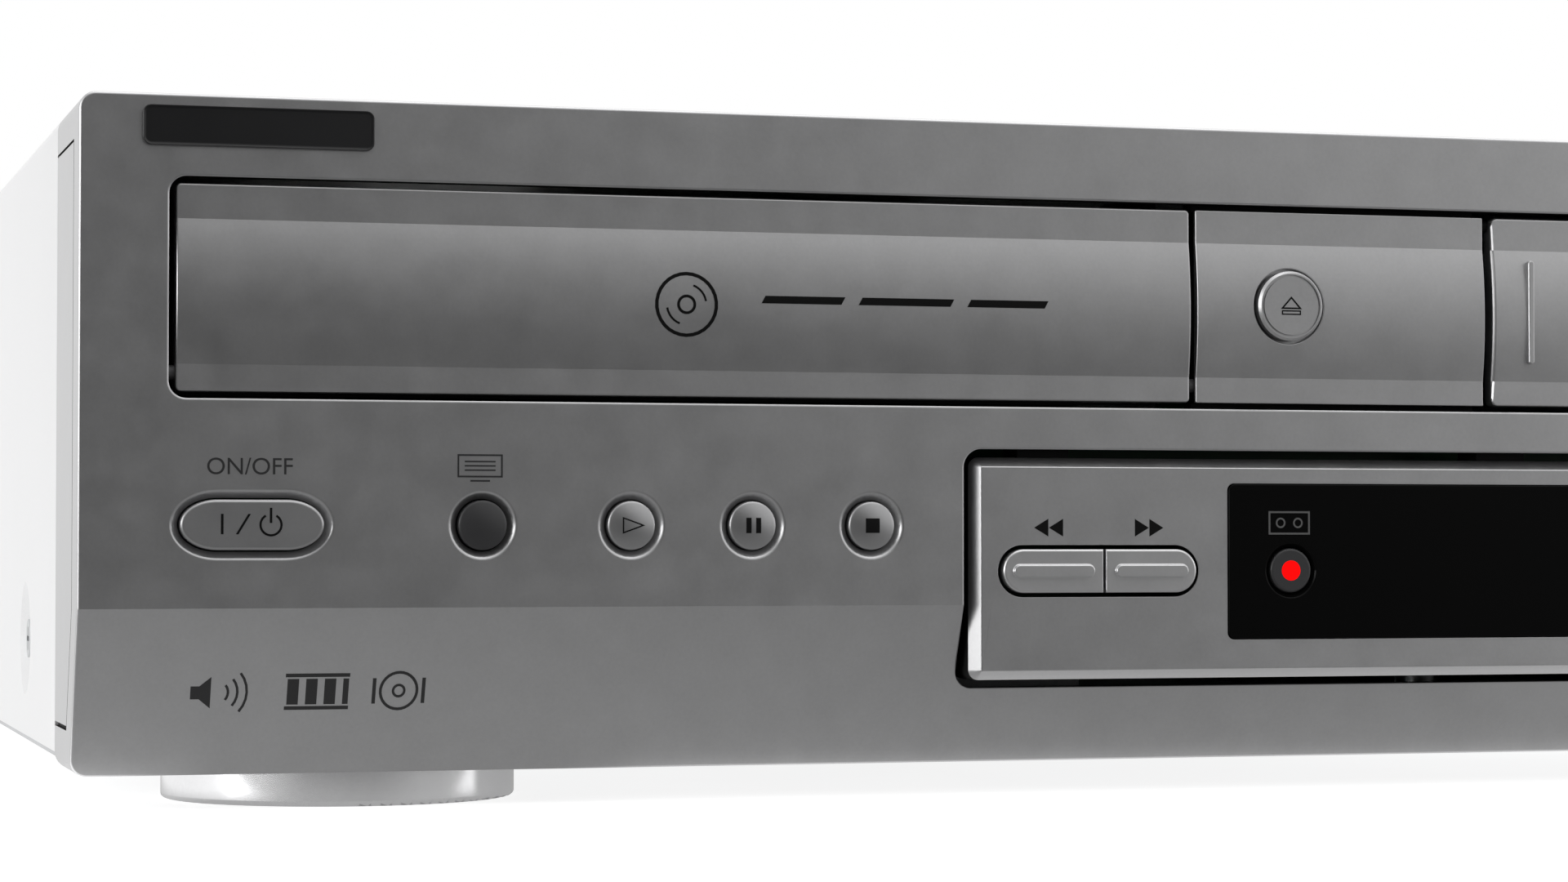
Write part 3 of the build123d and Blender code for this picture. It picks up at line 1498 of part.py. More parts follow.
def make_pinch_roller():
    z0 = deck_z1 + past + pinch_roller_low
    z1 = z0 + pinch_roller_height
    roller = rod_z(pinch_x, pinch_y, z0, z1, pinch_radius)
    return roller - rod_z(pinch_x, pinch_y, z0 - past, z1 + past, pinch_axle + pin_clearance)


def make_guide(side):
    """Tape guide on a sliding base; a neck through the deck's slot holds it from below."""
    x = deck_x + side * guide_side
    base = centred(x, guide_y, guide_width, guide_length, deck_z1 + join, deck_z1 + guide_height)
    base += rod_z(x, guide_y, deck_z0 - deck_thickness, deck_z1 + past, guide_neck)
    base += rod_z(x, guide_y, deck_z0 - 2 * deck_thickness, deck_z0 - drum_gap, guide_button)
    return base + rod_z(x, guide_y, deck_z1 + guide_height - past, deck_z1 + guide_post_height, guide_post)


def make_tape_heads():
    """The erase head on the left and the sound head on the right."""
    heads = []
    for side, offset, depth, back in ((-1, erase_head_side, erase_head_depth, erase_head_back),
                                      (1, audio_head_side, audio_head_depth, audio_head_back)):
        heads.append(centred(deck_x + side * offset, capstan_y + back + depth / 2, head_width, depth,
                             deck_z1, deck_z1 + head_height))
    return heads


def make_deck_motor():
    z1 = deck_z1 + deck_motor_height
    motor = rod_z(deck_motor_x, deck_motor_y, deck_z1, z1, deck_motor_radius)
    return motor + rod_z(deck_motor_x, deck_motor_y, z1 - join, z1 + deck_pulley_height,
                         deck_pulley_radius)


save("front_bezel", make_bezel())
save("centre_panel", make_centre_panel())
save("control_panel", make_control_panel())
save("display_window", make_window())
save("name_plate", make_name_plate())
save("disc_door", make_disc_door())
save("cassette_door", make_tape_door())
save("disc_eject_button", make_eject_button())
for name, x in round_keys.items():
    save(name, make_round_button(x))
for name, (x, length) in pill_buttons.items():
    save(name, make_pill_button(x, length))
for name, (side, half) in scan_keys.items():
    save(name, make_scan_button(side, half))
save("record_button", make_record_button())
save("front_board", *make_front_boards(), *make_switches())
save("display_tube", make_display_tube())
save("front_sockets", *make_front_sockets())
save("bottom_chassis", make_chassis())
save("top_cover", make_cover())
save("rear_panel", make_rear_panel())
save("feet", *[make_foot(x, y) for x in (left + foot_margin, right - foot_margin)
               for y in (front + foot_front, rear - foot_rear)])
save("cover_screws", *make_cover_screws())
save("rear_jacks", make_jack_block(), *[make_jack_shell(x, z) for x, z in jack_places])
save("tuner_module", make_tuner())
save("mains_inlet", make_inlet())
save("power_board", make_board(power_board_x0, power_board_x1), make_heat_sink(), *make_capacitors())
save("main_board", make_board(main_board_x0, main_board_x1), *make_chips())
save("power_transformer", *make_transformer())
save("disc_tray", make_tray())
save("loader_frame", make_loader_frame())
save("clamp_bridge", make_bridge())
save("disc_clamp", make_clamp())
save("turntable", make_turntable())
save("traverse_chassis", make_traverse(), make_spindle_motor())
save("guide_rods", *make_guide_rods())
save("pickup_sled", make_sled(), make_lens())
save("tray_gear", make_tray_gear())
save("loader_belt", make_belt())
save("loader_motor", make_loader_motor())
save("motor_pulley", make_motor_pulley())
save("deck_plate", make_deck())
save("cassette_holder", make_holder())
save("lower_drum", make_lower_drum())
save("head_drum", make_upper_drum())
save("capstan", make_capstan())
save("supply_reel", make_reel(-1))
save("take_up_reel", make_reel(1))
save("pinch_arm", make_pinch_arm())
save("pinch_roller", make_pinch_roller())
save("tape_guides", make_guide(-1), make_guide(1))
save("tape_heads", *make_tape_heads())
save("deck_motor", make_deck_motor())
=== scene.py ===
import math

import bmesh
import bpy
from mathutils import Matrix, Vector


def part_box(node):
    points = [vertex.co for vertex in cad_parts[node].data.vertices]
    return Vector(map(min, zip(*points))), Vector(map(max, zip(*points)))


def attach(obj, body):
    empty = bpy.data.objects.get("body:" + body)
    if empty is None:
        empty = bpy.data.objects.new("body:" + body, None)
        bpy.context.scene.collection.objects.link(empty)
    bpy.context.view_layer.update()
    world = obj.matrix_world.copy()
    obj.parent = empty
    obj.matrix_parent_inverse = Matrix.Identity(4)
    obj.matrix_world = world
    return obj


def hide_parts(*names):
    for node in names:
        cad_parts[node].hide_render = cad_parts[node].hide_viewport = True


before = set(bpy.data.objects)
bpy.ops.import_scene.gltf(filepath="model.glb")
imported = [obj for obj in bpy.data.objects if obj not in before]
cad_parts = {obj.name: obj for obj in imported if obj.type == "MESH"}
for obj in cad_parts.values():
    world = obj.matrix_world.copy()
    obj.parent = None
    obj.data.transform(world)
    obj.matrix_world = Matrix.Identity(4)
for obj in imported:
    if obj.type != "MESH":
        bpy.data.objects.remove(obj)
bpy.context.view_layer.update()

mm = 0.001
scene = bpy.context.scene


# Front moulding. One thin shell of moulded plastic under satin silver paint, which shows faint
# clouds and a fine speck. Its outer rim is rounded, and every opening has a small worn edge.
bezel_low, bezel_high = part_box("front_bezel")
face = bezel_low.y
left, right = bezel_low.x, bezel_high.x
bottom, top = bezel_low.z, bezel_high.z
edge_wear = 0.28 * mm
weld = 0.001 * mm
close = 0.01 * mm


def add_node(tree, kind, inputs=None, **settings):
    """A node with its settings; each input takes a value or another node's socket."""
    node = tree.nodes.new("ShaderNode" + kind)
    for key, value in settings.items():
        setattr(node, key, value)
    for key, value in (inputs or {}).items():
        if isinstance(value, bpy.types.NodeSocket):
            tree.links.new(value, node.inputs[key])
        else:
            node.inputs[key].default_value = value
    return node


def calculate(tree, operation, *values, kind="Math"):
    """What a maths node gives for its values."""
    return add_node(tree, kind, dict(enumerate(values)), operation=operation).outputs[0]


def new_group(name, inputs, outputs):
    """An empty shader group with named float and colour sockets."""
    group = bpy.data.node_groups.new(name, "ShaderNodeTree")
    for side, sockets in (("INPUT", inputs), ("OUTPUT", outputs)):
        for socket, kind in sockets:
            group.interface.new_socket(socket, in_out=side, socket_type="NodeSocket" + kind)
    return group, group.nodes.new("NodeGroupInput").outputs, group.nodes.new("NodeGroupOutput").inputs


def swing(tree, value, amount):
    """A value between 0 and 1 turned into a swing of plus or minus half the amount."""
    return calculate(tree, "MULTIPLY", calculate(tree, "SUBTRACT", value, 0.5), amount)


def make_finish_group():
    """Clouds and specks in a plain finish: colour, roughness and a faint relief."""
    group, given, out = new_group(
        "finish_grain",
        (("Colour", "Color"), ("Roughness", "Float"), ("Clouds", "Float"), ("Specks", "Float"),
         ("Cloud Scale", "Float"), ("Speck Scale", "Float"), ("Relief", "Float")),
        (("Colour", "Color"), ("Roughness", "Float"), ("Normal", "Vector")))
    place = add_node(group, "TexCoord").outputs["Object"]
    cloud = add_node(group, "TexNoise", {"Vector": place, "Scale": given["Cloud Scale"], "Detail": 6.0,
                                         "Roughness": 0.62}).outputs[0]
    speck = add_node(group, "TexNoise", {"Vector": place, "Scale": given["Speck Scale"], "Detail": 2.0,
                                         "Roughness": 0.7}).outputs[0]
    both = calculate(group, "ADD", swing(group, cloud, given["Clouds"]), swing(group, speck, given["Specks"]))
    share = calculate(group, "ADD", both, 1.0)
    tinted = add_node(group, "VectorMath", {0: given["Colour"], "Scale": share}, operation="SCALE")
    group.links.new(tinted.outputs[0], out["Colour"])
    rough = calculate(group, "ADD", given["Roughness"], swing(group, cloud, 0.14))
    group.links.new(rough, out["Roughness"])
    relief = add_node(group, "Bump", {"Height": speck, "Strength": given["Relief"],
                                      "Distance": 0.02 * mm})
    group.links.new(relief.outputs[0], out["Normal"])
    return group


finish_group = make_finish_group()


def finish(name, colour, roughness, metallic=0.0, clouds=0.12, specks=0.08, cloud_scale=24.0,
           speck_scale=1500.0, relief=0.25, more=None):
    """A material whose colour and roughness wander a little, with more of the shader's values as given."""
    material = bpy.data.materials.new(name)
    material.use_nodes = True
    tree = material.node_tree
    principled = tree.nodes["Principled BSDF"]
    grain = tree.nodes.new("ShaderNodeGroup")
    grain.node_tree = finish_group
    values = (("Colour", (*colour, 1.0)), ("Roughness", roughness), ("Clouds", clouds),
              ("Specks", specks), ("Cloud Scale", cloud_scale), ("Speck Scale", speck_scale),
              ("Relief", relief))
    for key, value in values:
        grain.inputs[key].default_value = value
    tree.links.new(grain.outputs["Colour"], principled.inputs["Base Color"])
    tree.links.new(grain.outputs["Roughness"], principled.inputs["Roughness"])
    tree.links.new(grain.outputs["Normal"], principled.inputs["Normal"])
    principled.inputs["Metallic"].default_value = metallic
    for key, value in (more or {}).items():
        principled.inputs[key].default_value = value
    return material


def merged(node, flat=0.4):
    """The CAD node's triangles as one joined mesh, with faces that turn by less than flat degrees whole."""
    bm = bmesh.new()
    bm.from_mesh(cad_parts[node].data)
    bmesh.ops.remove_doubles(bm, verts=bm.verts, dist=weld)
    bmesh.ops.dissolve_limit(bm, angle_limit=math.radians(flat), verts=bm.verts, edges=bm.edges)
    return bm


def sharp(bm, test):
    """The edges that turn by more than 30 degrees and pass the test."""
    return [e for e in bm.edges if len(e.link_faces) == 2
            and e.calc_face_angle(0) > math.radians(30) and test(e)]


def all_at(edge, axis, value):
    """Whether both ends of an edge lie at a value on an axis."""
    return all(abs(v.co[axis] - value) < close for v in edge.verts)


def round_over(bm, edges, width, steps=3, material=-1):
    """Rounds the edges; the new faces keep their neighbours' material unless one is given."""
    bmesh.ops.bevel(bm, geom=edges, offset=width, offset_type="OFFSET", segments=steps, profile=0.5,
                    affect="EDGES", clamp_overlap=False, material=material)


def paint(bm, pick):
    """Gives each face the material that its centre and its normal pick."""
    for face_here in bm.faces:
        face_here.material_index = pick(face_here.calc_center_median(), face_here.normal)


def piece(bm, name, body, materials, stands_for=(), crease=30):
    """The finished mesh as a piece of the object that rides on a body."""
    mesh = bpy.data.meshes.new(name)
    bm.to_mesh(mesh)
    bm.free()
    for layer in [a for a in mesh.attributes if a.name == "custom_normal"]:
        mesh.attributes.remove(layer)
    for material in materials:
        mesh.materials.append(material)
    mesh.shade_smooth()
    mesh.set_sharp_from_angle(angle=math.radians(crease))
    obj = bpy.data.objects.new(name, mesh)
    scene.collection.objects.link(obj)
    even = obj.modifiers.new("even_normals", "WEIGHTED_NORMAL")
    even.keep_sharp = True
    even.weight = 90
    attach(obj, body)
    if stands_for:
        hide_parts(*stands_for)
    return obj


silver_paint = finish("silver_paint", (0.505, 0.505, 0.51), 0.33, metallic=0.9, clouds=0.16,
                      specks=0.12, cloud_scale=140.0, speck_scale=1800.0)
# Bare plastic inside the openings, behind the plateau and on the cassette door's pins: near black, so that it
# is also painted shade in the gaps round the doors and keys.
bare_plastic_and_gap_shade = finish("bare_plastic_and_gap_shade", (0.006, 0.006, 0.006), 0.7, clouds=0.2,
                      more={"Specular IOR Level": 0.2})
knee = bottom + 23.3 * mm
chin_slope = 9.3 / 23.3
paint_reach = 0.4 * mm
dish_reach = 2.4 * mm
corner_zone = 2.5 * mm
side_skin = 0.3 * mm


def front_plane(z):
    """Where the front's outside lies at a height: upright, then sloping back below the knee."""
    return face + max(0.0, knee - z) * chin_slope


def bezel_paint(centre, normal):
    """The paint covers the outside and the dishes, and ends a little way into the openings; the near-black
    bare plastic beyond also stands in for the shade in the gaps.
    """
    near_end = centre.z > top - corner_zone or centre.z < bottom + corner_zone
    outwards = normal.x * math.copysign(1, centre.x) > 0.1
    side = outwards and (abs(centre.x) > right - side_skin or near_end)
    flat = near_end and normal.z * math.copysign(1, centre.z - knee) > 0.1
    deep = centre.y - front_plane(centre.z)
    dish = normal.y < -0.2 and deep < dish_reach
    return 0 if side or flat or dish or deep < paint_reach else 1


bezel = merged("front_bezel", 0.08)
front_edges = sharp(bezel, lambda e: all(abs(v.co.y - front_plane(v.co.z)) < close for v in e.verts))
round_over(bezel, front_edges, edge_wear)
paint(bezel, bezel_paint)
piece(bezel, "front_shell", "case", [silver_paint, bare_plastic_and_gap_shade], ["front_bezel"],
      crease=15)


# Name plate. A thin dark moulded badge that is glued to the top left corner, a plain sunk field in
# a slightly lighter raised frame.
badge_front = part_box("name_plate")[0].y
broken_edge = 0.12 * mm
badge_black = finish("badge_black", (0.012, 0.012, 0.013), 0.32, clouds=0.3, specks=0.2)
badge_frame = finish("badge_frame", (0.075, 0.075, 0.077), 0.30, clouds=0.2)
frame_width = 0.5 * mm
field_sunk = 0.18 * mm
badge = merged("name_plate")
badge_field = max((f for f in badge.faces if f.normal.y < -0.9), key=lambda f: f.calc_area())
bmesh.ops.inset_region(badge, faces=[badge_field], thickness=frame_width, depth=0.0)
for v in badge_field.verts:
    v.co.y += field_sunk
paint(badge, lambda centre, normal: 0 if centre.y > badge_front + field_sunk / 2 and normal.y < -0.9 else 1)
round_over(badge, sharp(badge, lambda e: all_at(e, 1, badge_front)), broken_edge)
piece(badge, "blank_badge", "case", [badge_black, badge_frame], ["name_plate"])


# Disc door. A long flap that drops on two pins when the drawer comes out. It is moulded with a
# flat band along each long edge and a gently rounded middle, painted like the front.
disc_low, disc_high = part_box("disc_door")
panel_low, panel_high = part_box("centre_panel")
panel_sheet = 0.7 * mm
door_wall = 2.2 * mm
low_band, high_band = 3.8 * mm, 4.9 * mm
door_flat = panel_high.y - panel_sheet
door_back = door_flat + door_wall
door_bottom, door_top = panel_low.z, panel_high.z
bulge_low = door_bottom + low_band
bulge_high = door_top - high_band
bulge_middle = (bulge_low + bulge_high) / 2
bulge_half = (bulge_high - bulge_low) / 2


def arc_radius(half, rise):
    """The radius of an arc that rises so much over half its width."""
    return (half ** 2 + rise ** 2) / (2 * rise)


bulge_radius = arc_radius(bulge_half, door_flat - face)


def pull(bm, faces, way):
    """Draws the faces out by a vector into a closed solid."""
    grown = bmesh.ops.extrude_face_region(bm, geom=faces)
    moved = [v for v in grown["geom"] if isinstance(v, bmesh.types.BMVert)]
    bmesh.ops.translate(bm, verts=moved, vec=way)
    bmesh.ops.recalc_face_normals(bm, faces=bm.faces)


def door_body(x0, x1, back, corner):
    """A prism with the doors' section from x0 to x1, with its four corners rounded."""
    bm = bmesh.new()
    start = bm.verts.new((x0, door_flat, bulge_low))
    turn = 2 * math.asin(bulge_half / bulge_radius)
    bmesh.ops.spin(bm, geom=[start], cent=(x0, face + bulge_radius, bulge_middle), axis=(1, 0, 0),
                   angle=-turn, steps=20)
    arc = sorted(bm.verts, key=lambda v: v.co.z)
    rest = [bm.verts.new((x0, y, z)) for y, z in ((door_flat, door_top), (back, door_top),
                                                  (back, door_bottom), (door_flat, door_bottom))]
    pull(bm, [bm.faces.new(arc + rest)], (x1 - x0, 0, 0))
    corners = [e for e in bm.edges if abs(e.verts[0].co.y - e.verts[1].co.y) > 0.1 * mm
               and all(min(abs(v.co.z - door_bottom), abs(v.co.z - door_top)) < close for v in e.verts)]
    round_over(bm, corners, corner, 6)
    return bm


def add_rod(bm, x0, x1, y, z, radius):
    """A closed round rod along X, in the second material."""
    turn = Matrix.Translation(((x0 + x1) / 2, y, z)) @ Matrix.Rotation(math.pi / 2, 4, "Y")
    made = bmesh.ops.create_cone(bm, cap_ends=True, segments=24, radius1=radius, radius2=radius,
                                 depth=abs(x1 - x0), matrix=turn)
    for side in {f for v in made["verts"] for f in v.link_faces}:
        side.material_index = 1


def door_rim(bm, back):
    """The edges round the outside of a door's front."""
    return sharp(bm, lambda e: all(v.co.y < back - close for v in e.verts))


pin_length = 2.6 * mm
disc_left, disc_right = disc_low.x + pin_length, disc_high.x - pin_length
flap = door_body(disc_left, disc_right, door_back, 0.7 * mm)
round_over(flap, door_rim(flap, door_back), edge_wear)
boss_radius, disc_pin_radius = 1.8 * mm, 1.05 * mm
disc_pin = (disc_high.y - boss_radius, door_bottom + 2.65 * mm)
add_rod(flap, disc_left + mm, disc_right - mm, *disc_pin, boss_radius)
add_rod(flap, disc_low.x, disc_high.x, *disc_pin, disc_pin_radius)
pin_grey = finish("pin_grey", (0.16, 0.16, 0.165), 0.4, clouds=0.2)
piece(flap, "disc_flap", "disc_door", [silver_paint, pin_grey], ["disc_door"], crease=4)


# Cassette door. The same section as the disc door, hung from pins along its upper edge so that
# a cassette pushes it in. A thin raised rib stands near each end for the finger.
tape_low, tape_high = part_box("cassette_door")
tape_left, tape_right = tape_low.x + pin_length, tape_high.x - pin_length
rib_height = 15.8 * mm
rib_width = 1.0 * mm
rib_proud = 0.5 * mm
rib_inset = 6.2 * mm
rib_root = 1.6 * mm
end_round = 0.5 * mm
tape_flap = door_body(tape_left, tape_right, door_back, 1.0 * mm)
tape_ends = [e for e in door_rim(tape_flap, door_back)
             if all_at(e, 0, tape_left) or all_at(e, 0, tape_right)]
round_over(tape_flap, tape_ends, end_round, 4)
round_over(tape_flap, door_rim(tape_flap, door_back), edge_wear)
for x in (tape_left + rib_inset, tape_right - rib_inset):
    rib = bmesh.new()
    bmesh.ops.create_circle(rib, cap_ends=True, segments=20, radius=rib_width / 2,
                            matrix=Matrix.Rotation(math.pi / 2, 4, "X"))
    for v in rib.verts:
        v.co.z += math.copysign(rib_height / 2 - rib_width / 2, v.co.z)
    bmesh.ops.translate(rib, verts=rib.verts, vec=(x, face - rib_proud, (door_bottom + door_top) / 2))
    pull(rib, list(rib.faces), (0, rib_root, 0))
    round_over(rib, sharp(rib, lambda e: all_at(e, 1, face - rib_proud)), 0.2 * mm)
    ready = bpy.data.meshes.new("rib")
    rib.to_mesh(ready)
    rib.free()
    tape_flap.from_mesh(ready)
    bpy.data.meshes.remove(ready)
tape_pin = (face + 2.6 * mm, door_top - 1.15 * mm)
tape_rod_radius, tape_pin_radius = 1.6 * mm, 0.85 * mm
add_rod(tape_flap, tape_left + mm, tape_right - mm, *tape_pin, tape_rod_radius)
add_rod(tape_flap, tape_low.x, tape_high.x, *tape_pin, tape_pin_radius)
# Its pins are near-black bare plastic, which is also painted shade for the gap they sit in.
piece(tape_flap, "cassette_flap", "cassette_door", [silver_paint, bare_plastic_and_gap_shade],
      ["cassette_door"], crease=4)


# Panel between the doors. A fixed piece with the doors' section, stuck on the bridge of the front
# moulding, with a round hole for the eject button.
eject_low, eject_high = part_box("disc_eject_button")
eject_x = (eject_low.x + eject_high.x) / 2
eject_z = (eject_low.z + eject_high.z) / 2
eject_hole = 5.65 * mm
drill_length = 10 * mm
middle_panel = door_body(panel_low.x, panel_high.x, panel_high.y, 0.2 * mm)
panel_mesh = bpy.data.meshes.new("panel_blank")
middle_panel.to_mesh(panel_mesh)
middle_panel.free()
blank = bpy.data.objects.new("panel_blank", panel_mesh)
drill_bm = bmesh.new()
bmesh.ops.create_cone(drill_bm, cap_ends=True, segments=64, radius1=eject_hole, radius2=eject_hole,
                      depth=drill_length, matrix=Matrix.Translation((eject_x, face, eject_z))
                      @ Matrix.Rotation(math.pi / 2, 4, "X"))
drill_mesh = bpy.data.meshes.new("drill")
drill_bm.to_mesh(drill_mesh)
drill_bm.free()
drill = bpy.data.objects.new("drill", drill_mesh)
for obj in (blank, drill):
    scene.collection.objects.link(obj)
cut = blank.modifiers.new("hole", "BOOLEAN")
cut.operation = "DIFFERENCE"
cut.object = drill
cut.solver = "EXACT"
bpy.context.view_layer.update()
drilled = bmesh.new()
drilled.from_object(blank, bpy.context.evaluated_depsgraph_get())
for obj, mesh in ((blank, panel_mesh), (drill, drill_mesh)):
    bpy.data.objects.remove(obj)
    bpy.data.meshes.remove(mesh)
bmesh.ops.remove_doubles(drilled, verts=drilled.verts, dist=weld)
round_over(drilled, door_rim(drilled, panel_high.y), edge_wear / 2)
piece(drilled, "middle_panel", "case", [silver_paint], ["centre_panel"], crease=4)


# Disc eject button. A round silver cap with a turned ring just inside its edge.
piece(merged("disc_eject_button"), "eject_cap", "disc_eject_button", [silver_paint],
      ["disc_eject_button"])


# Control panel. A raised plateau in the middle of the lower half, moulded with a bevel all round,
# which carries the display window and the two long double keys.
bevel_end = 1.8 * mm
skin = 0.05 * mm
plateau = merged("control_panel")
round_over(plateau, sharp(plateau, lambda e: all_at(e, 1, face)), broken_edge)
# Behind the bevel the plateau is near-black bare plastic, which is also painted shade in the gap round it.
paint(plateau, lambda centre, normal: 0 if centre.y < face + bevel_end + skin and normal.y < -0.2 else 1)
piece(plateau, "control_plateau", "case", [silver_paint, bare_plastic_and_gap_shade],
      ["control_panel"], crease=35)


# Display window. A slab of black tinted acrylic, glossy, with its edge just broken.
window_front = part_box("display_window")[0].y
window_black = finish("window_black", (0.004, 0.004, 0.004), 0.10, clouds=0.1, specks=0.05, relief=0.0,
                      more={"Specular IOR Level": 0.06})
pane = merged("display_window")
round_over(pane, sharp(pane, lambda e: all_at(e, 1, window_front)), broken_edge)
piece(pane, "window_pane", "case", [window_black], ["display_window"])


# Double keys. Four half pills of silver plastic, two and two, each with a raised bar along it.
pale_cap = finish("pale_cap", (0.61, 0.61, 0.615), 0.32, metallic=0.85, cloud_scale=90.0)
bar_zone = 0.7 * mm
pill_round = 0.2 * mm
for name in ("rewind", "fast_forward", "channel_down", "channel_up"):
    node = name + "_button"
    key = merged(node)
    key_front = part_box(node)[0].y
    round_over(key, sharp(key, lambda e: all(v.co.y < key_front + bar_zone for v in e.verts)), pill_round)
    piece(key, name + "_key", node, [pale_cap], [node])


# Round keys. Small domed caps of silver plastic in conical dishes; the one for the picture mode is
# dark grey.
silver_cap = finish("silver_cap", (0.40, 0.40, 0.405), 0.36, metallic=0.85, cloud_scale=90.0)
dark_cap = finish("dark_cap", (0.038, 0.038, 0.040), 0.42, clouds=0.2)
round_keys = ("progressive", "play", "pause", "stop", "tape_play", "tape_pause", "tape_stop")
key_radius, flange_radius, stem_radius = 3.5 * mm, 4.5 * mm, 1.5 * mm
cap_edge = 0.25 * mm
key_dome = 0.6 * mm
key_ball = arc_radius(key_radius, key_dome)
flange_front = face + 3.5 * mm
flange_back = face + 4.5 * mm


def round_key(node):
    """A domed cap, its flange and stem, turned round the key's axis."""
    low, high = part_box(node)
    x, z = (low.x + high.x) / 2, (low.z + high.z) / 2
    bm = bmesh.new()
    apex = bm.verts.new((x, low.y, z))
    bmesh.ops.spin(bm, geom=[apex], cent=(x, low.y + key_ball, z), axis=(0, 0, 1),
                   angle=math.asin(key_radius / key_ball), steps=8)
    last = max(bm.verts, key=lambda v: abs(v.co.x - x))
    side = math.copysign(1, last.co.x - x)
    for out, y in ((key_radius, flange_front), (flange_radius, flange_front), (flange_radius, flange_back),
                   (stem_radius, flange_back), (stem_radius, high.y), (0, high.y)):
        after = bm.verts.new((x + side * out, y, z))
        bm.edges.new((last, after))
        last = after
    bmesh.ops.spin(bm, geom=list(bm.verts) + list(bm.edges), cent=(x, 0, z), axis=(0, 1, 0),
                   angle=2 * math.pi, steps=48, use_merge=True)
    bmesh.ops.remove_doubles(bm, verts=bm.verts, dist=weld)
    bmesh.ops.recalc_face_normals(bm, faces=bm.faces)
    round_over(bm, sharp(bm, lambda e: all_at(e, 1, low.y + key_dome)), cap_edge)
    return bm


for name in round_keys:
    node = name + "_button"
    slot, cap = ("dark_key", dark_cap) if name == "progressive" else ("silver_key", silver_cap)
    piece(round_key(node), name + "_cap", node, [cap], [node])


# Long keys. The power key and the cassette eject key are ovals with a rounded edge.
for name in ("power", "tape_eject"):
    node = name + "_button"
    piece(merged(node), name + "_cap", node, [silver_cap], [node])


# Record key. A small dark cap sunk in the window, with a bright rim and a printed red spot whose ink is made
# to glow faintly, a painted glow.
record_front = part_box("record_button")[0].y
record_rim = finish("record_rim", (0.30, 0.30, 0.30), 0.35, metallic=0.6)
record_cap = merged("record_button")
rim_width = 0.18 * mm
round_over(record_cap, sharp(record_cap, lambda e: all_at(e, 1, record_front)), rim_width, 2, material=1)
piece(record_cap, "record_cap", "record_button", [dark_cap, record_rim], ["record_button"])


# Printed marks. Thin ink laid on the keys, the door, the window and the front: plain signs for play,
# pause, stop, wind, channel, eject and power, and for sound, film, disc, cassette and screen.
ink_black = finish("ink_black", (0.006, 0.006, 0.006), 0.6, clouds=0.2, more={"Specular IOR Level": 0.1})
ink_grey = finish("ink_grey", (0.13, 0.13, 0.13), 0.5, clouds=0.2)
ink_label = finish("ink_label", (0.022, 0.022, 0.023), 0.5, clouds=0.3)
# The red ink glows a little of its own, though it is only print and no lamp: a painted glow.
red_ink_painted_glow = finish("red_ink_painted_glow", (0.9, 0.002, 0.002), 0.5, clouds=0.1,
                 more={"Emission Color": (1.0, 0.0, 0.0, 1.0), "Emission Strength": 0.7,
                       "Specular IOR Level": 0.1})
ink_proud = 0.03 * mm
ink_into = 0.02 * mm
long_edge = 0.5 * mm


def at(x, z):
    """A place on the front, in millimetres from the left edge and from the bottom of the body."""
    return Vector((left + x * mm, bottom + z * mm))


def centre_of(node):
    """The middle of a node's front, as a place on the front."""
    low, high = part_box(node)
    return Vector(((low.x + high.x) / 2, (low.z + high.z) / 2))


def ribbon(points, width, closed=False):
    """Four-sided faces along a line of points, mitred at the corners."""
    rows = []
    for i, here in enumerate(points):
        after = points[(i + 1) % len(points)] if closed or i < len(points) - 1 else None
        before = points[i - 1] if closed or i else None
        ways = [(b - a).normalized() for a, b in ((before, here), (here, after)) if a and b]
        normals = [Vector((-way.y, way.x)) for way in ways]
        out = sum(normals, Vector((0, 0))).normalized()
        reach = width / 2 / max(out.dot(normals[0]), 0.25)
        rows.append((here + out * reach, here - out * reach))
    pairs = list(zip(rows, rows[1:] + rows[:1]))
    return [(a[0], a[1], b[1], b[0]) for a, b in (pairs if closed else pairs[:-1])]


def ring(centre, radius, width, start=0.0, end=360.0):
    """A ring, or a part of one measured from straight up."""
    whole = end - start >= 360
    steps = max(6, int((end - start) / 12))
    turns = [math.radians(start + (end - start) * i / steps) for i in range(steps + (not whole))]
    return ribbon([centre + radius * Vector((math.sin(t), math.cos(t))) for t in turns], width, whole)


def bar(centre, across, high, lean=0.0):
    """A filled upright bar, leaning to the right by so much at its top."""
    half, tall = Vector((across / 2, 0)), Vector((lean / 2, high / 2))
    return [(centre - half - tall, centre + half - tall, centre + half + tall, centre - half + tall)]


def pointer(centre, across, high):
    """The corners of a triangle that points along +X, or along -X where across is negative."""
    return [centre + Vector((-across / 2, -high / 2)), centre + Vector((across / 2, 0)),
            centre + Vector((-across / 2, high / 2))]


def eject_sign(centre):
    """An outlined triangle that points up over an outlined bar."""
    hat = [centre + Vector(v) * mm for v in ((-1.45, -0.35), (0, 1.25), (1.45, -0.35))]
    foot = [centre + Vector(v) * mm for v in ((-1.45, -1.25), (1.45, -1.25), (1.45, -0.75), (-1.45, -0.75))]
    return ribbon(hat, 0.24 * mm, True) + ribbon(foot, 0.2 * mm, True)


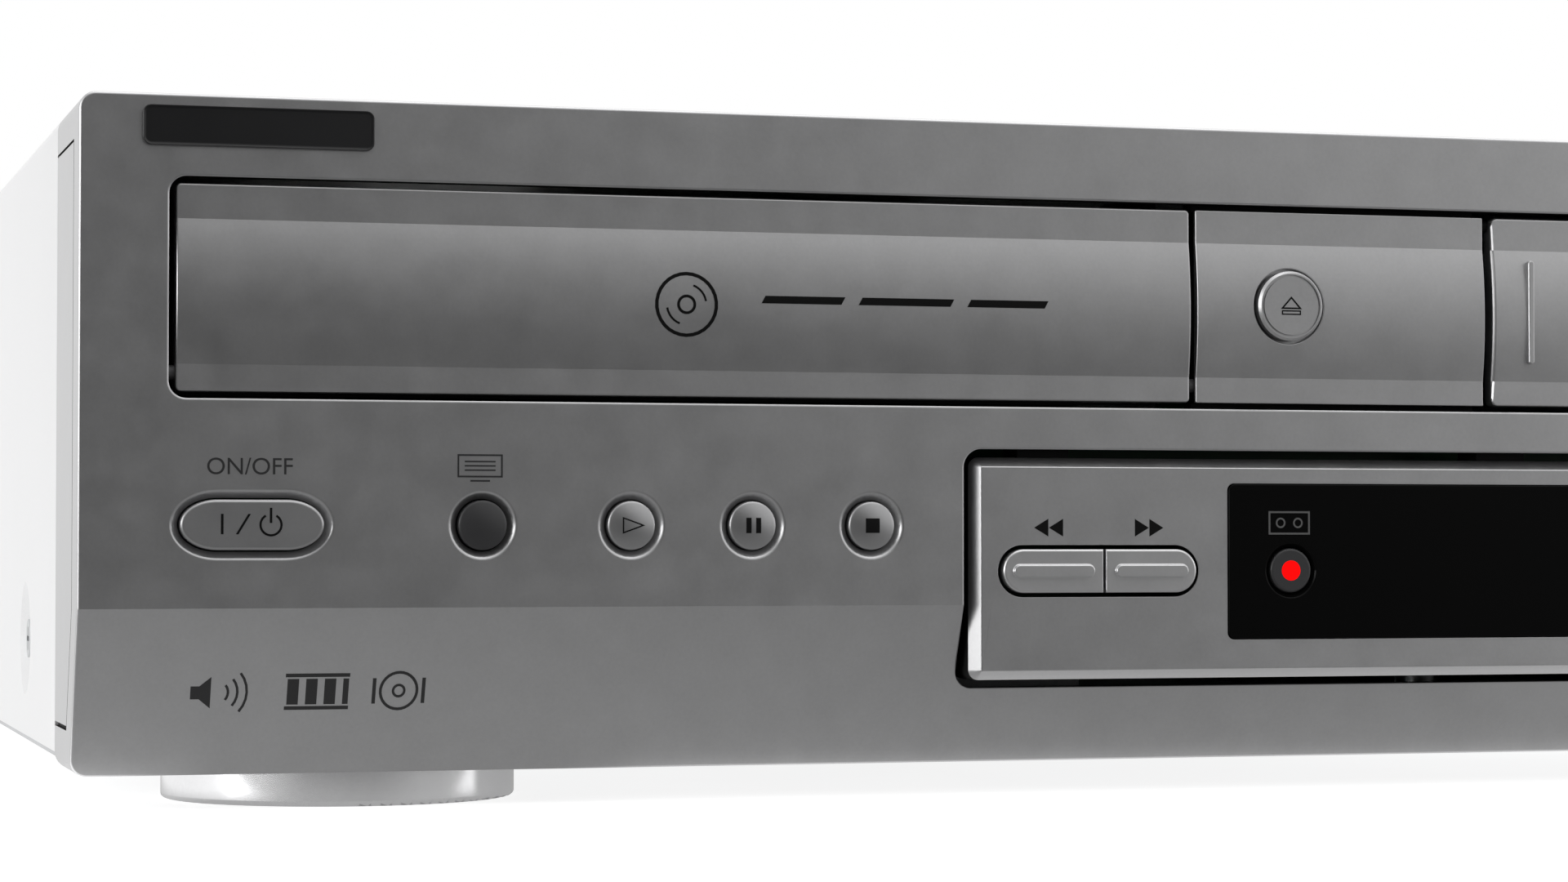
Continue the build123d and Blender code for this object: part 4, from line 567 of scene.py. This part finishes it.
def printed(name, body, ink, shapes, surface):
    """Ink shapes laid on a surface, given as its depth at each place on the front."""
    bm = bmesh.new()
    for corners in shapes:
        bm.faces.new([bm.verts.new((x, 0, z)) for x, z in corners])
    bmesh.ops.remove_doubles(bm, verts=bm.verts, dist=2 * weld)
    long_edges = [e for e in bm.edges if e.calc_length() > long_edge]
    bmesh.ops.subdivide_edges(bm, edges=long_edges, cuts=3, use_grid_fill=True)
    bmesh.ops.triangulate(bm, faces=bm.faces)
    for v in bm.verts:
        v.co.y = surface(v.co.x, v.co.z) - ink_proud
    pull(bm, list(bm.faces), (0, ink_proud + ink_into, 0))
    piece(bm, name, body, [ink])


def cap_face(node):
    """The depth of a key's front: a dome on the round keys, flat on the others."""
    cap_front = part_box(node)[0].y
    middle = centre_of(node)
    if node.replace("_button", "") not in round_keys:
        return lambda x, z: cap_front
    return lambda x, z: (cap_front + key_ball
                         - math.sqrt(key_ball ** 2 - (Vector((x, z)) - middle).length_squared))


def door_face(x, z):
    """The doors' front: a shallow arc between two flat bands."""
    return min(door_flat, face + bulge_radius - math.sqrt(bulge_radius ** 2 - (z - bulge_middle) ** 2))


play_high, pause_high, stop_side = 2.1 * mm, 2.2 * mm, 2.1 * mm
for name in ("play", "tape_play"):
    node = name + "_button"
    arrow = pointer(centre_of(node) + Vector((0.15 * mm, 0)), 2.9 * mm, play_high)
    printed(name + "_sign", node, ink_black, ribbon(arrow, 0.2 * mm, True), cap_face(node))
for name in ("pause", "tape_pause"):
    node = name + "_button"
    shapes = [f for x in (-0.72, 0.72)
              for f in bar(centre_of(node) + Vector((x * mm, 0)), 0.75 * mm, pause_high)]
    printed(name + "_sign", node, ink_black, shapes, cap_face(node))
for name in ("stop", "tape_stop"):
    node = name + "_button"
    printed(name + "_sign", node, ink_black, bar(centre_of(node), stop_side, stop_side), cap_face(node))

stroke, stroke_high = 0.36 * mm, 2.8 * mm
power_shapes = bar(at(19.6, 34.9), stroke, stroke_high) + bar(at(22.5, 34.9), stroke, stroke_high, 1.7 * mm)
power_shapes += ring(at(26.3, 34.8), 1.45 * mm, 0.31 * mm, 30, 330) + bar(at(26.3, 36.1), 0.34 * mm, 2.1 * mm)
printed("power_sign", "power_button", ink_black, power_shapes, cap_face("power_button"))
printed("tape_eject_sign", "tape_eject_button", ink_black, eject_sign(centre_of("tape_eject_button")),
        cap_face("tape_eject_button"))
printed("disc_eject_sign", "disc_eject_button", ink_black, eject_sign(Vector((eject_x, eject_z))),
        cap_face("disc_eject_button"))
printed("record_spot", "record_button", red_ink_painted_glow,
        ring(centre_of("record_button"), 0.75 * mm, 1.5 * mm), cap_face("record_button"))

sign_up = 34.55
wind_shapes = [pointer(at(x, sign_up), 2.2 * mm * way, 2.6 * mm)
               for way, xs in ((-1, (139.3, 141.6)), (1, (155.1, 157.4))) for x in xs]
step_keys = [centre_of(name + "_button").x for name in ("channel_down", "channel_up")]
wind_shapes += [[Vector((x + a * mm, bottom + (sign_up + b * way) * mm))
                 for a, b in ((-1.5, -1.0), (1.5, -1.0), (0, 1.3))]
                for x, way in zip(step_keys, (-1, 1))]
printed("panel_signs", "case", ink_black, wind_shapes, lambda x, z: face)

words = bpy.data.curves.new("switch_words", "FONT")
words.body = "ON/OFF"
words.size = 3.3 * mm
words.align_x = "CENTER"
words_obj = bpy.data.objects.new("switch_words", words)
scene.collection.objects.link(words_obj)
bpy.context.view_layer.update()
words_mesh = bpy.data.meshes.new_from_object(words_obj.evaluated_get(bpy.context.evaluated_depsgraph_get()))
words_at = at(23.45, 41.75)
letters = [[words_at + words_mesh.vertices[i].co.xy for i in p.vertices] for p in words_mesh.polygons]
bpy.data.objects.remove(words_obj)
bpy.data.curves.remove(words)
bpy.data.meshes.remove(words_mesh)
printed("switch_words", "case", ink_label, letters, lambda x, z: face)

screen = [at(x, z) for x, z in ((52.6, 41.6), (58.8, 41.6), (58.8, 44.6), (52.6, 44.6))]
screen_shapes = ribbon(screen, 0.25 * mm, True) + bar(at(55.7, 41.0), 2.8 * mm, 0.25 * mm)
screen_shapes += [f for z in (42.5, 43.1, 43.7) for f in bar(at(55.7, z), 4.4 * mm, 0.22 * mm)]
printed("picture_sign", "case", ink_label, screen_shapes, lambda x, z: face)

cassette = [at(x, z) for x, z in ((175.4, 33.7), (181.8, 33.7), (181.8, 36.9), (175.4, 36.9))]
cassette_shapes = ribbon(cassette, 0.28 * mm, True)
cassette_shapes += [f for x in (177.2, 180.0) for f in ring(at(x, 35.3), 0.65 * mm, 0.25 * mm)]
printed("cassette_sign", "case", ink_grey, cassette_shapes, lambda x, z: window_front)

disc_at, glint = at(85.6, 66.3), 2.9 * mm
disc_shapes = ring(disc_at, 4.4 * mm, 0.5 * mm) + ring(disc_at, 1.2 * mm, 0.4 * mm)
disc_shapes += [f for start in (20, 200) for f in ring(disc_at, glint, 0.3 * mm, start, start + 60)]
disc_shapes += [f for x, wide in ((103.0, 12.0), (118.6, 14.0), (134.2, 12.0))
                for f in bar(at(x, 67.2), wide * mm, 1.1 * mm, 0.6 * mm)]
printed("disc_signs", "disc_door", ink_black, disc_shapes, door_face)

chin_up = 11.6
chin_shapes = [[at(x, chin_up + z) for x, z in ((16.0, -0.9), (17.2, -0.9), (18.8, -2.2), (18.8, 2.2),
                                                (17.2, 0.9), (16.0, 0.9))]]
chin_shapes += [f for r in (1.6, 2.9, 4.2) for f in ring(at(19.6, chin_up), r * mm, 0.35 * mm, 50, 130)]
chin_shapes += [f for x, wide in ((30.2, 1.6), (32.8, 1.6), (35.4, 1.6), (37.6, 0.8))
                for f in bar(at(x, chin_up), wide * mm, 3.6 * mm)]
chin_shapes += [f for z in (-2.3, 2.3) for f in bar(at(33.6, chin_up + z), 9.0 * mm, 0.5 * mm)]
chin_shapes += ring(at(45.1, chin_up), 2.6 * mm, 0.4 * mm) + ring(at(45.1, chin_up), 0.8 * mm, 0.35 * mm)
chin_shapes += [f for x in (41.6, 48.6) for f in bar(at(x, chin_up), 0.5 * mm, 3.6 * mm)]
printed("chin_signs", "case", ink_label, chin_shapes, lambda x, z: front_plane(z))


# Cover. Sheet steel folded over the top and both sides, in pale silver paint with a fine texture.
# Four pressed dimples take the screws that hold it to the pan.
def made(node, name, body, slot, materials, pick=None):
    """The node's own shape with its faces in their materials."""
    bm = merged(node, 0.05)
    if pick:
        paint(bm, pick)
    return piece(bm, name, body, materials, [node])


steel_paint = finish("steel_paint", (0.86, 0.86, 0.865), 0.42, metallic=0.1, clouds=0.05, specks=0.08,
                     speck_scale=2200.0, relief=0.5)
made("top_cover", "steel_cover", "case", "cover_steel", [steel_paint])
bright_zinc = finish("bright_zinc", (0.60, 0.61, 0.62), 0.32, metallic=0.95, clouds=0.3, cloud_scale=60.0)
made("cover_screws", "cover_screws_made", "case", "screw", [bright_zinc])


# Pan and rear panel. Zinc plated sheet steel with punched vents; the pan's edges fold up inside the
# cover and the panel closes the back.
zinc = finish("zinc", (0.55, 0.56, 0.57), 0.38, metallic=0.9, clouds=0.35, specks=0.15, cloud_scale=45.0)
made("bottom_chassis", "floor_pan", "case", "zinc_steel", [zinc])
made("rear_panel", "back_panel", "case", "zinc_steel", [zinc])


# Feet. Four bright plated rings with a soft pad pressed into the hollow underneath.
plated = finish("plated", (0.92, 0.92, 0.93), 0.17, metallic=1.0, clouds=0.06, cloud_scale=40.0, relief=0.05)
pad = finish("pad", (0.03, 0.03, 0.03), 0.85, specks=0.3)
hollow = 2 * mm
made("feet", "plated_feet", "case", "foot", [plated, pad],
     lambda centre, normal: 1 if normal.z < -0.5 and centre.z > hollow else 0)


# Sockets. Plated shells with the usual colours on their ends, three in the chin and two rows on the
# back, set in black blocks that are soldered to the board.
nickel = finish("nickel", (0.66, 0.64, 0.58), 0.25, metallic=1.0, clouds=0.15)
socket_black = finish("socket_black", (0.02, 0.02, 0.02), 0.5)
collars = [finish(name, colour, 0.4) for name, colour in (
    ("collar_yellow", (0.75, 0.48, 0.02)), ("collar_white", (0.72, 0.72, 0.70)),
    ("collar_red", (0.55, 0.02, 0.02)), ("collar_green", (0.03, 0.32, 0.08)),
    ("collar_blue", (0.03, 0.10, 0.45)))]
jacks_low, jacks_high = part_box("rear_jacks")
sockets_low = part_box("front_sockets")[0]
back_margin, chin_margin = mm, -3 * mm
socket_pitch = 14 * mm
shell_length = 9.4 * mm
back_collars = (2, 3, 4, 5, 6, 4)
chin_collars = (4, 3, 2)
socket_parts = [nickel, socket_black, *collars]


def collar_in(row, along):
    """The collar of the socket that lies so far along its row."""
    return row[max(0, min(int(along / socket_pitch), len(row) - 1))]


def back_socket_paint(centre, normal):
    """Coloured ends, plated shells and a black block."""
    if centre.y > jacks_high.y - skin:
        return collar_in(back_collars, centre.x - jacks_low.x - back_margin)
    return 0 if centre.y > jacks_high.y - shell_length else 1


def chin_socket_paint(centre, normal):
    """Coloured ends on plated shells."""
    if centre.y < sockets_low.y + skin:
        return collar_in(chin_collars, centre.x - sockets_low.x - chin_margin)
    return 0


made("rear_jacks", "back_sockets", "case", "socket", socket_parts, back_socket_paint)
made("front_sockets", "chin_sockets", "case", "socket", socket_parts, chin_socket_paint)


# Mains inlet and tuner. The inlet is black plastic round two plated pins; the tuner is a tinned can
# with two threaded aerial plugs.
inlet_low, inlet_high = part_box("mains_inlet")
inlet_x = (inlet_low.x + inlet_high.x) / 2
inlet_z = (inlet_low.z + inlet_high.z) / 2
inlet_black = finish("inlet_black", (0.02, 0.02, 0.02), 0.45, clouds=0.15)
prong_aside, prong_reach = 4.3 * mm, 1.25 * mm


def inlet_paint(centre, normal):
    """Black with two plated prongs."""
    reach = min(math.hypot(centre.x - inlet_x - side * prong_aside, centre.z - inlet_z) for side in (-1, 1))
    return 1 if reach < prong_reach else 0


made("mains_inlet", "inlet", "case", "black_plastic", [inlet_black, nickel], inlet_paint)
tin = finish("tin", (0.62, 0.62, 0.60), 0.34, metallic=1.0, clouds=0.3, cloud_scale=70.0)
made("tuner_module", "tuner_can", "case", "zinc_steel", [tin])


# Boards. Green lacquered glass fibre on pillars: the power board with sleeved capacitors, a finned
# heat sink and a transformer, the main board with black chips, the front board with its switches.
lacquer = finish("lacquer", (0.015, 0.085, 0.030), 0.35, clouds=0.7, specks=0.3, cloud_scale=160.0)
chip_black = finish("chip_black", (0.016, 0.016, 0.017), 0.5, specks=0.2)
sleeve = finish("sleeve", (0.02, 0.022, 0.035), 0.3)
bare_aluminium = finish("bare_aluminium", (0.62, 0.63, 0.64), 0.35, metallic=1.0, clouds=0.2,
                        cloud_scale=80.0)
core_steel = finish("core_steel", (0.20, 0.19, 0.18), 0.5, metallic=0.7, clouds=0.4, cloud_scale=120.0)
copper = finish("copper", (0.60, 0.24, 0.09), 0.35, metallic=0.8, clouds=0.2, specks=0.4)
power_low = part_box("power_board")[0]
board_up = 7.6 * mm
board_top = power_low.z + board_up
sink_wide = 21 * mm
core_low, core_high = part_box("power_transformer")
core_y = (core_low.y + core_high.y) / 2
core_half = 14.05 * mm
switch_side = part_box("front_board")[1].y - 1.65 * mm


def power_paint(centre, normal):
    """A green board, a bare heat sink, and capacitors in sleeves with bare tops."""
    if centre.z < board_top + skin:
        return 0
    return 2 if centre.x < power_low.x + sink_wide or normal.z > 0.9 else 1


made("power_board", "power_board_made", "case", "board", [lacquer, sleeve, bare_aluminium], power_paint)
made("main_board", "main_board_made", "case", "board", [lacquer, chip_black],
     lambda centre, normal: 1 if centre.z > board_top + skin else 0)
made("front_board", "front_board_made", "case", "board", [lacquer, chip_black],
     lambda centre, normal: 1 if centre.y < switch_side else 0)
made("power_transformer", "transformer", "case", "ground_steel", [core_steel, copper],
     lambda centre, normal: 1 if abs(centre.y - core_y) > core_half else 0)


# Display tube. A flat evacuated glass tube that glows blue green, on wire legs behind the window.
smoked_glass = finish("smoked_glass", (0.02, 0.05, 0.05), 0.12, clouds=0.1, relief=0.0)
made("display_tube", "tube", "case", "tube", [smoked_glass])


# Disc loader. A black moulded frame on the pan's two bridges with a steel bridge over it, the clamp
# hanging in the bridge, the drawer, and under the drawer the motor, belt and gear.
mould_black = finish("mould_black", (0.028, 0.028, 0.029), 0.48, clouds=0.2)
acetal = finish("acetal", (0.72, 0.72, 0.69), 0.4, clouds=0.1)
belt_rubber = finish("belt_rubber", (0.012, 0.012, 0.012), 0.7, specks=0.3)
can_steel = finish("can_steel", (0.50, 0.51, 0.52), 0.3, metallic=1.0, clouds=0.2, cloud_scale=90.0)
made("loader_frame", "frame_moulding", "case", "black_plastic", [mould_black])
made("clamp_bridge", "bridge_plate", "case", "zinc_steel", [zinc])
made("disc_clamp", "clamp_puck", "disc_clamp", "black_plastic", [mould_black])
made("disc_tray", "drawer", "disc_tray", "black_plastic", [mould_black])
made("tray_gear", "drawer_gear", "tray_gear", "white_plastic", [acetal])
made("loader_belt", "belt", "case", "rubber", [belt_rubber])
made("loader_motor", "drawer_motor", "case", "motor_can", [can_steel])
made("motor_pulley", "pulley", "motor_pulley", "white_plastic", [acetal])


# Pickup. A tilting black chassis carries the spindle motor with its turned turntable and two ground
# rods, on which the sled with the lens slides.
ground = finish("ground", (0.66, 0.66, 0.67), 0.18, metallic=1.0, clouds=0.1)
turned = finish("turned", (0.70, 0.70, 0.71), 0.24, metallic=1.0, clouds=0.12)
lens_glass = finish("lens_glass", (0.03, 0.05, 0.16), 0.06, clouds=0.1, relief=0.0)
lens_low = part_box("pickup_sled")[1].z - 1.3 * mm
made("traverse_chassis", "tilting_chassis", "traverse", "black_plastic", [mould_black])
made("guide_rods", "sled_rods", "traverse", "ground_steel", [ground])
made("turntable", "turntable_made", "turntable", "drum", [turned])
made("pickup_sled", "sled", "pickup_sled", "black_plastic", [mould_black, lens_glass],
     lambda centre, normal: 1 if centre.z > lens_low and normal.z > -0.5 else 0)


# Tape deck. A plated steel plate on four legs, with two acetal reels, the guides, the capstan and
# pinch roller, the heads, the motor, the drum on its base and the holder that lowers the cassette.
made("deck_plate", "deck", "case", "zinc_steel", [zinc])
made("cassette_holder", "holder", "cassette_holder", "zinc_steel", [zinc])
made("lower_drum", "drum_base", "case", "drum", [turned])
made("head_drum", "drum", "head_drum", "drum", [turned])
made("capstan", "capstan_shaft", "capstan", "ground_steel", [ground])
made("supply_reel", "supply_reel_made", "supply_reel", "white_plastic", [acetal])
made("take_up_reel", "take_up_reel_made", "take_up_reel", "white_plastic", [acetal])
made("pinch_arm", "pinch_lever", "pinch_arm", "ground_steel", [ground])
made("pinch_roller", "roller", "pinch_roller", "rubber", [belt_rubber])
made("tape_guides", "guides", "tape_guides", "white_plastic", [acetal])
made("tape_heads", "heads", "case", "ground_steel", [ground])
made("deck_motor", "capstan_motor", "case", "motor_can", [can_steel])


# Floor and studio. A wide pale floor in a white studio, with a soft box on the left, on the right and
# above. A soft dark card in front, its foot on the floor, a bright strip under the front's lower edge
# and a glow round each box aren't seen by the camera; they light the object and are mirrored in it.
floor_bm = bmesh.new()
bmesh.ops.create_grid(floor_bm, x_segments=1, y_segments=1, size=6.0)
floor_mesh = bpy.data.meshes.new("floor")
floor_bm.to_mesh(floor_mesh)
floor_bm.free()
floor = bpy.data.objects.new("floor", floor_mesh)
scene.collection.objects.link(floor)
floor_paint = bpy.data.materials.new("floor_paint")
floor_paint.use_nodes = True
floor_tree = floor_paint.node_tree
floor_shader = floor_tree.nodes["Principled BSDF"]
floor_shader.inputs["Base Color"].default_value = (0.55, 0.55, 0.55, 1)
floor_shader.inputs["Roughness"].default_value = 0.9
floor_shader.inputs["Emission Color"].default_value = (1, 1, 1, 1)
floor_shader.inputs["Emission Strength"].default_value = 0.80
smooth = {"interpolation_type": "SMOOTHSTEP"}
card_way = (-0.23, -0.97, 0)
card_rim, card_middle = 0.20, 1.04
card_dark = 0.04
card_foot_from = (0.06, -0.10, 0)
lip_ahead, lip_half, lip_fade, lip_extra = 0.133, 0.004, 0.008, 1.8
foot_across, foot_clear, foot_far = 0.173, 0.026, 0.050


def ramp(tree, value, start, end, low=0.0, high=1.0, **settings):
    """A value between start and end turned into one between low and high."""
    return add_node(tree, "MapRange", {"Value": value, "From Min": start, "From Max": end,
                                       "To Min": low, "To Max": high}, **settings).outputs[0]


def along(tree, vector, way):
    """How far a vector reaches along a direction."""
    return add_node(tree, "VectorMath", {0: vector, 1: way}, operation="DOT_PRODUCT").outputs["Value"]


spot = add_node(floor_tree, "TexCoord").outputs["Object"]
ahead = along(floor_tree, spot, (0, -1, 0))
across = along(floor_tree, spot, (1, 0, 0))
close_by = ramp(floor_tree, across, -0.20, 0.0, 0.60, 0.69)
near_gap = ramp(floor_tree, ahead, 0.15, 0.34, close_by, 0.97)
from_case = calculate(floor_tree, "ADD", spot, card_foot_from, kind="VectorMath")
bearing = calculate(floor_tree, "NORMALIZE", from_case, kind="VectorMath")
wedge = ramp(floor_tree, along(floor_tree, bearing, card_way), card_rim, card_middle, **smooth)
beside = ramp(floor_tree, across, -0.215, -0.195)
beyond = ramp(floor_tree, ahead, 0.125, 0.145)
wedge = calculate(floor_tree, "MULTIPLY", wedge, calculate(floor_tree, "MAXIMUM", beside, beyond))
card_foot = ramp(floor_tree, calculate(floor_tree, "MULTIPLY", wedge, near_gap), 0.0, 1.0, 0.95, card_dark)
from_lip = calculate(floor_tree, "ABSOLUTE", calculate(floor_tree, "SUBTRACT", ahead, lip_ahead))
under_lip = ramp(floor_tree, from_lip, lip_half, lip_fade, lip_extra, 0.0)
off_centre = calculate(floor_tree, "SUBTRACT", calculate(floor_tree, "ABSOLUTE", across), foot_across)
from_foot = calculate(floor_tree, "ABSOLUTE", off_centre)
clear_of_foot = ramp(floor_tree, from_foot, foot_clear, foot_far, **smooth)
lip_light = calculate(floor_tree, "ADD", calculate(floor_tree, "MULTIPLY", under_lip, clear_of_foot), 1.0)
card_foot = calculate(floor_tree, "MULTIPLY", card_foot, lip_light)
mirrored = add_node(floor_tree, "Emission", {"Color": (1, 1, 1, 1), "Strength": card_foot})
seen = add_node(floor_tree, "LightPath").outputs["Is Camera Ray"]
both_ways = add_node(floor_tree, "MixShader", {0: seen, 1: mirrored.outputs[0],
                                               2: floor_shader.outputs[0]})
floor_tree.links.new(both_ways.outputs[0], floor_tree.nodes["Material Output"].inputs[0])
floor_mesh.materials.append(floor_paint)

world = bpy.data.worlds.new("studio")
scene.world = world
world.use_nodes = True
studio = world.node_tree
studio.nodes.clear()
look = add_node(studio, "TexCoord").outputs["Generated"]
rays = add_node(studio, "LightPath").outputs
behind_card = ramp(studio, along(studio, look, card_way), card_rim, card_middle, **smooth)
under_edge = ramp(studio, along(studio, look, (0.6, 0, 0.8)), 0.18, 0.70, 1.0, 0.0, **smooth)
card = calculate(studio, "MULTIPLY", behind_card, under_edge)
shade = ramp(studio, card, 0.0, 1.0, 1.0, card_dark)
soft_boxes = (((-0.96, -0.28, 0.0), 2.8, 1.9), ((0.96, 0.28, 0.0), 0.9, 1.9), ((0.28, 0.03, 0.96), 0.3, 1.1))
box_rim, box_middle = 0.915, 0.99
glow_rim, glow_middle = 0.72, 0.95
for towards, box_light, glow_light in soft_boxes:
    near_box = along(studio, look, towards)
    soft_box = ramp(studio, near_box, box_rim, box_middle, 0.0, box_light, **smooth)
    glow = ramp(studio, near_box, glow_rim, glow_middle, 0.0, glow_light, **smooth)
    glow = calculate(studio, "MULTIPLY", glow, rays["Is Glossy Ray"])
    shade = calculate(studio, "ADD", shade, soft_box)
    shade = calculate(studio, "ADD", shade, glow)
strength = add_node(studio, "Mix", {0: rays["Is Camera Ray"], 2: shade, 3: 1.0}).outputs[0]
sky = add_node(studio, "Background", {"Color": (1, 1, 1, 1), "Strength": strength})
studio_out = studio.nodes.new("ShaderNodeOutputWorld")
studio.links.new(sky.outputs[0], studio_out.inputs[0])


# Camera. It stands low and to the left of the front and looks a little up and to the right, as in
# the photograph.
camera_tilt, camera_turn = 1.577, 16.386
camera_data = bpy.data.cameras.new("camera")
camera_data.lens = 85.125
camera_data.sensor_width = 36.0
camera_data.clip_start = 0.01
camera = bpy.data.objects.new("camera", camera_data)
camera.location = (-264.95 * mm, face - 510.14 * mm, 37.29 * mm)
camera.rotation_euler = (math.radians(90 + camera_tilt), 0, math.radians(-camera_turn))
scene.collection.objects.link(camera)
scene.camera = camera
scene.view_settings.view_transform = "Standard"
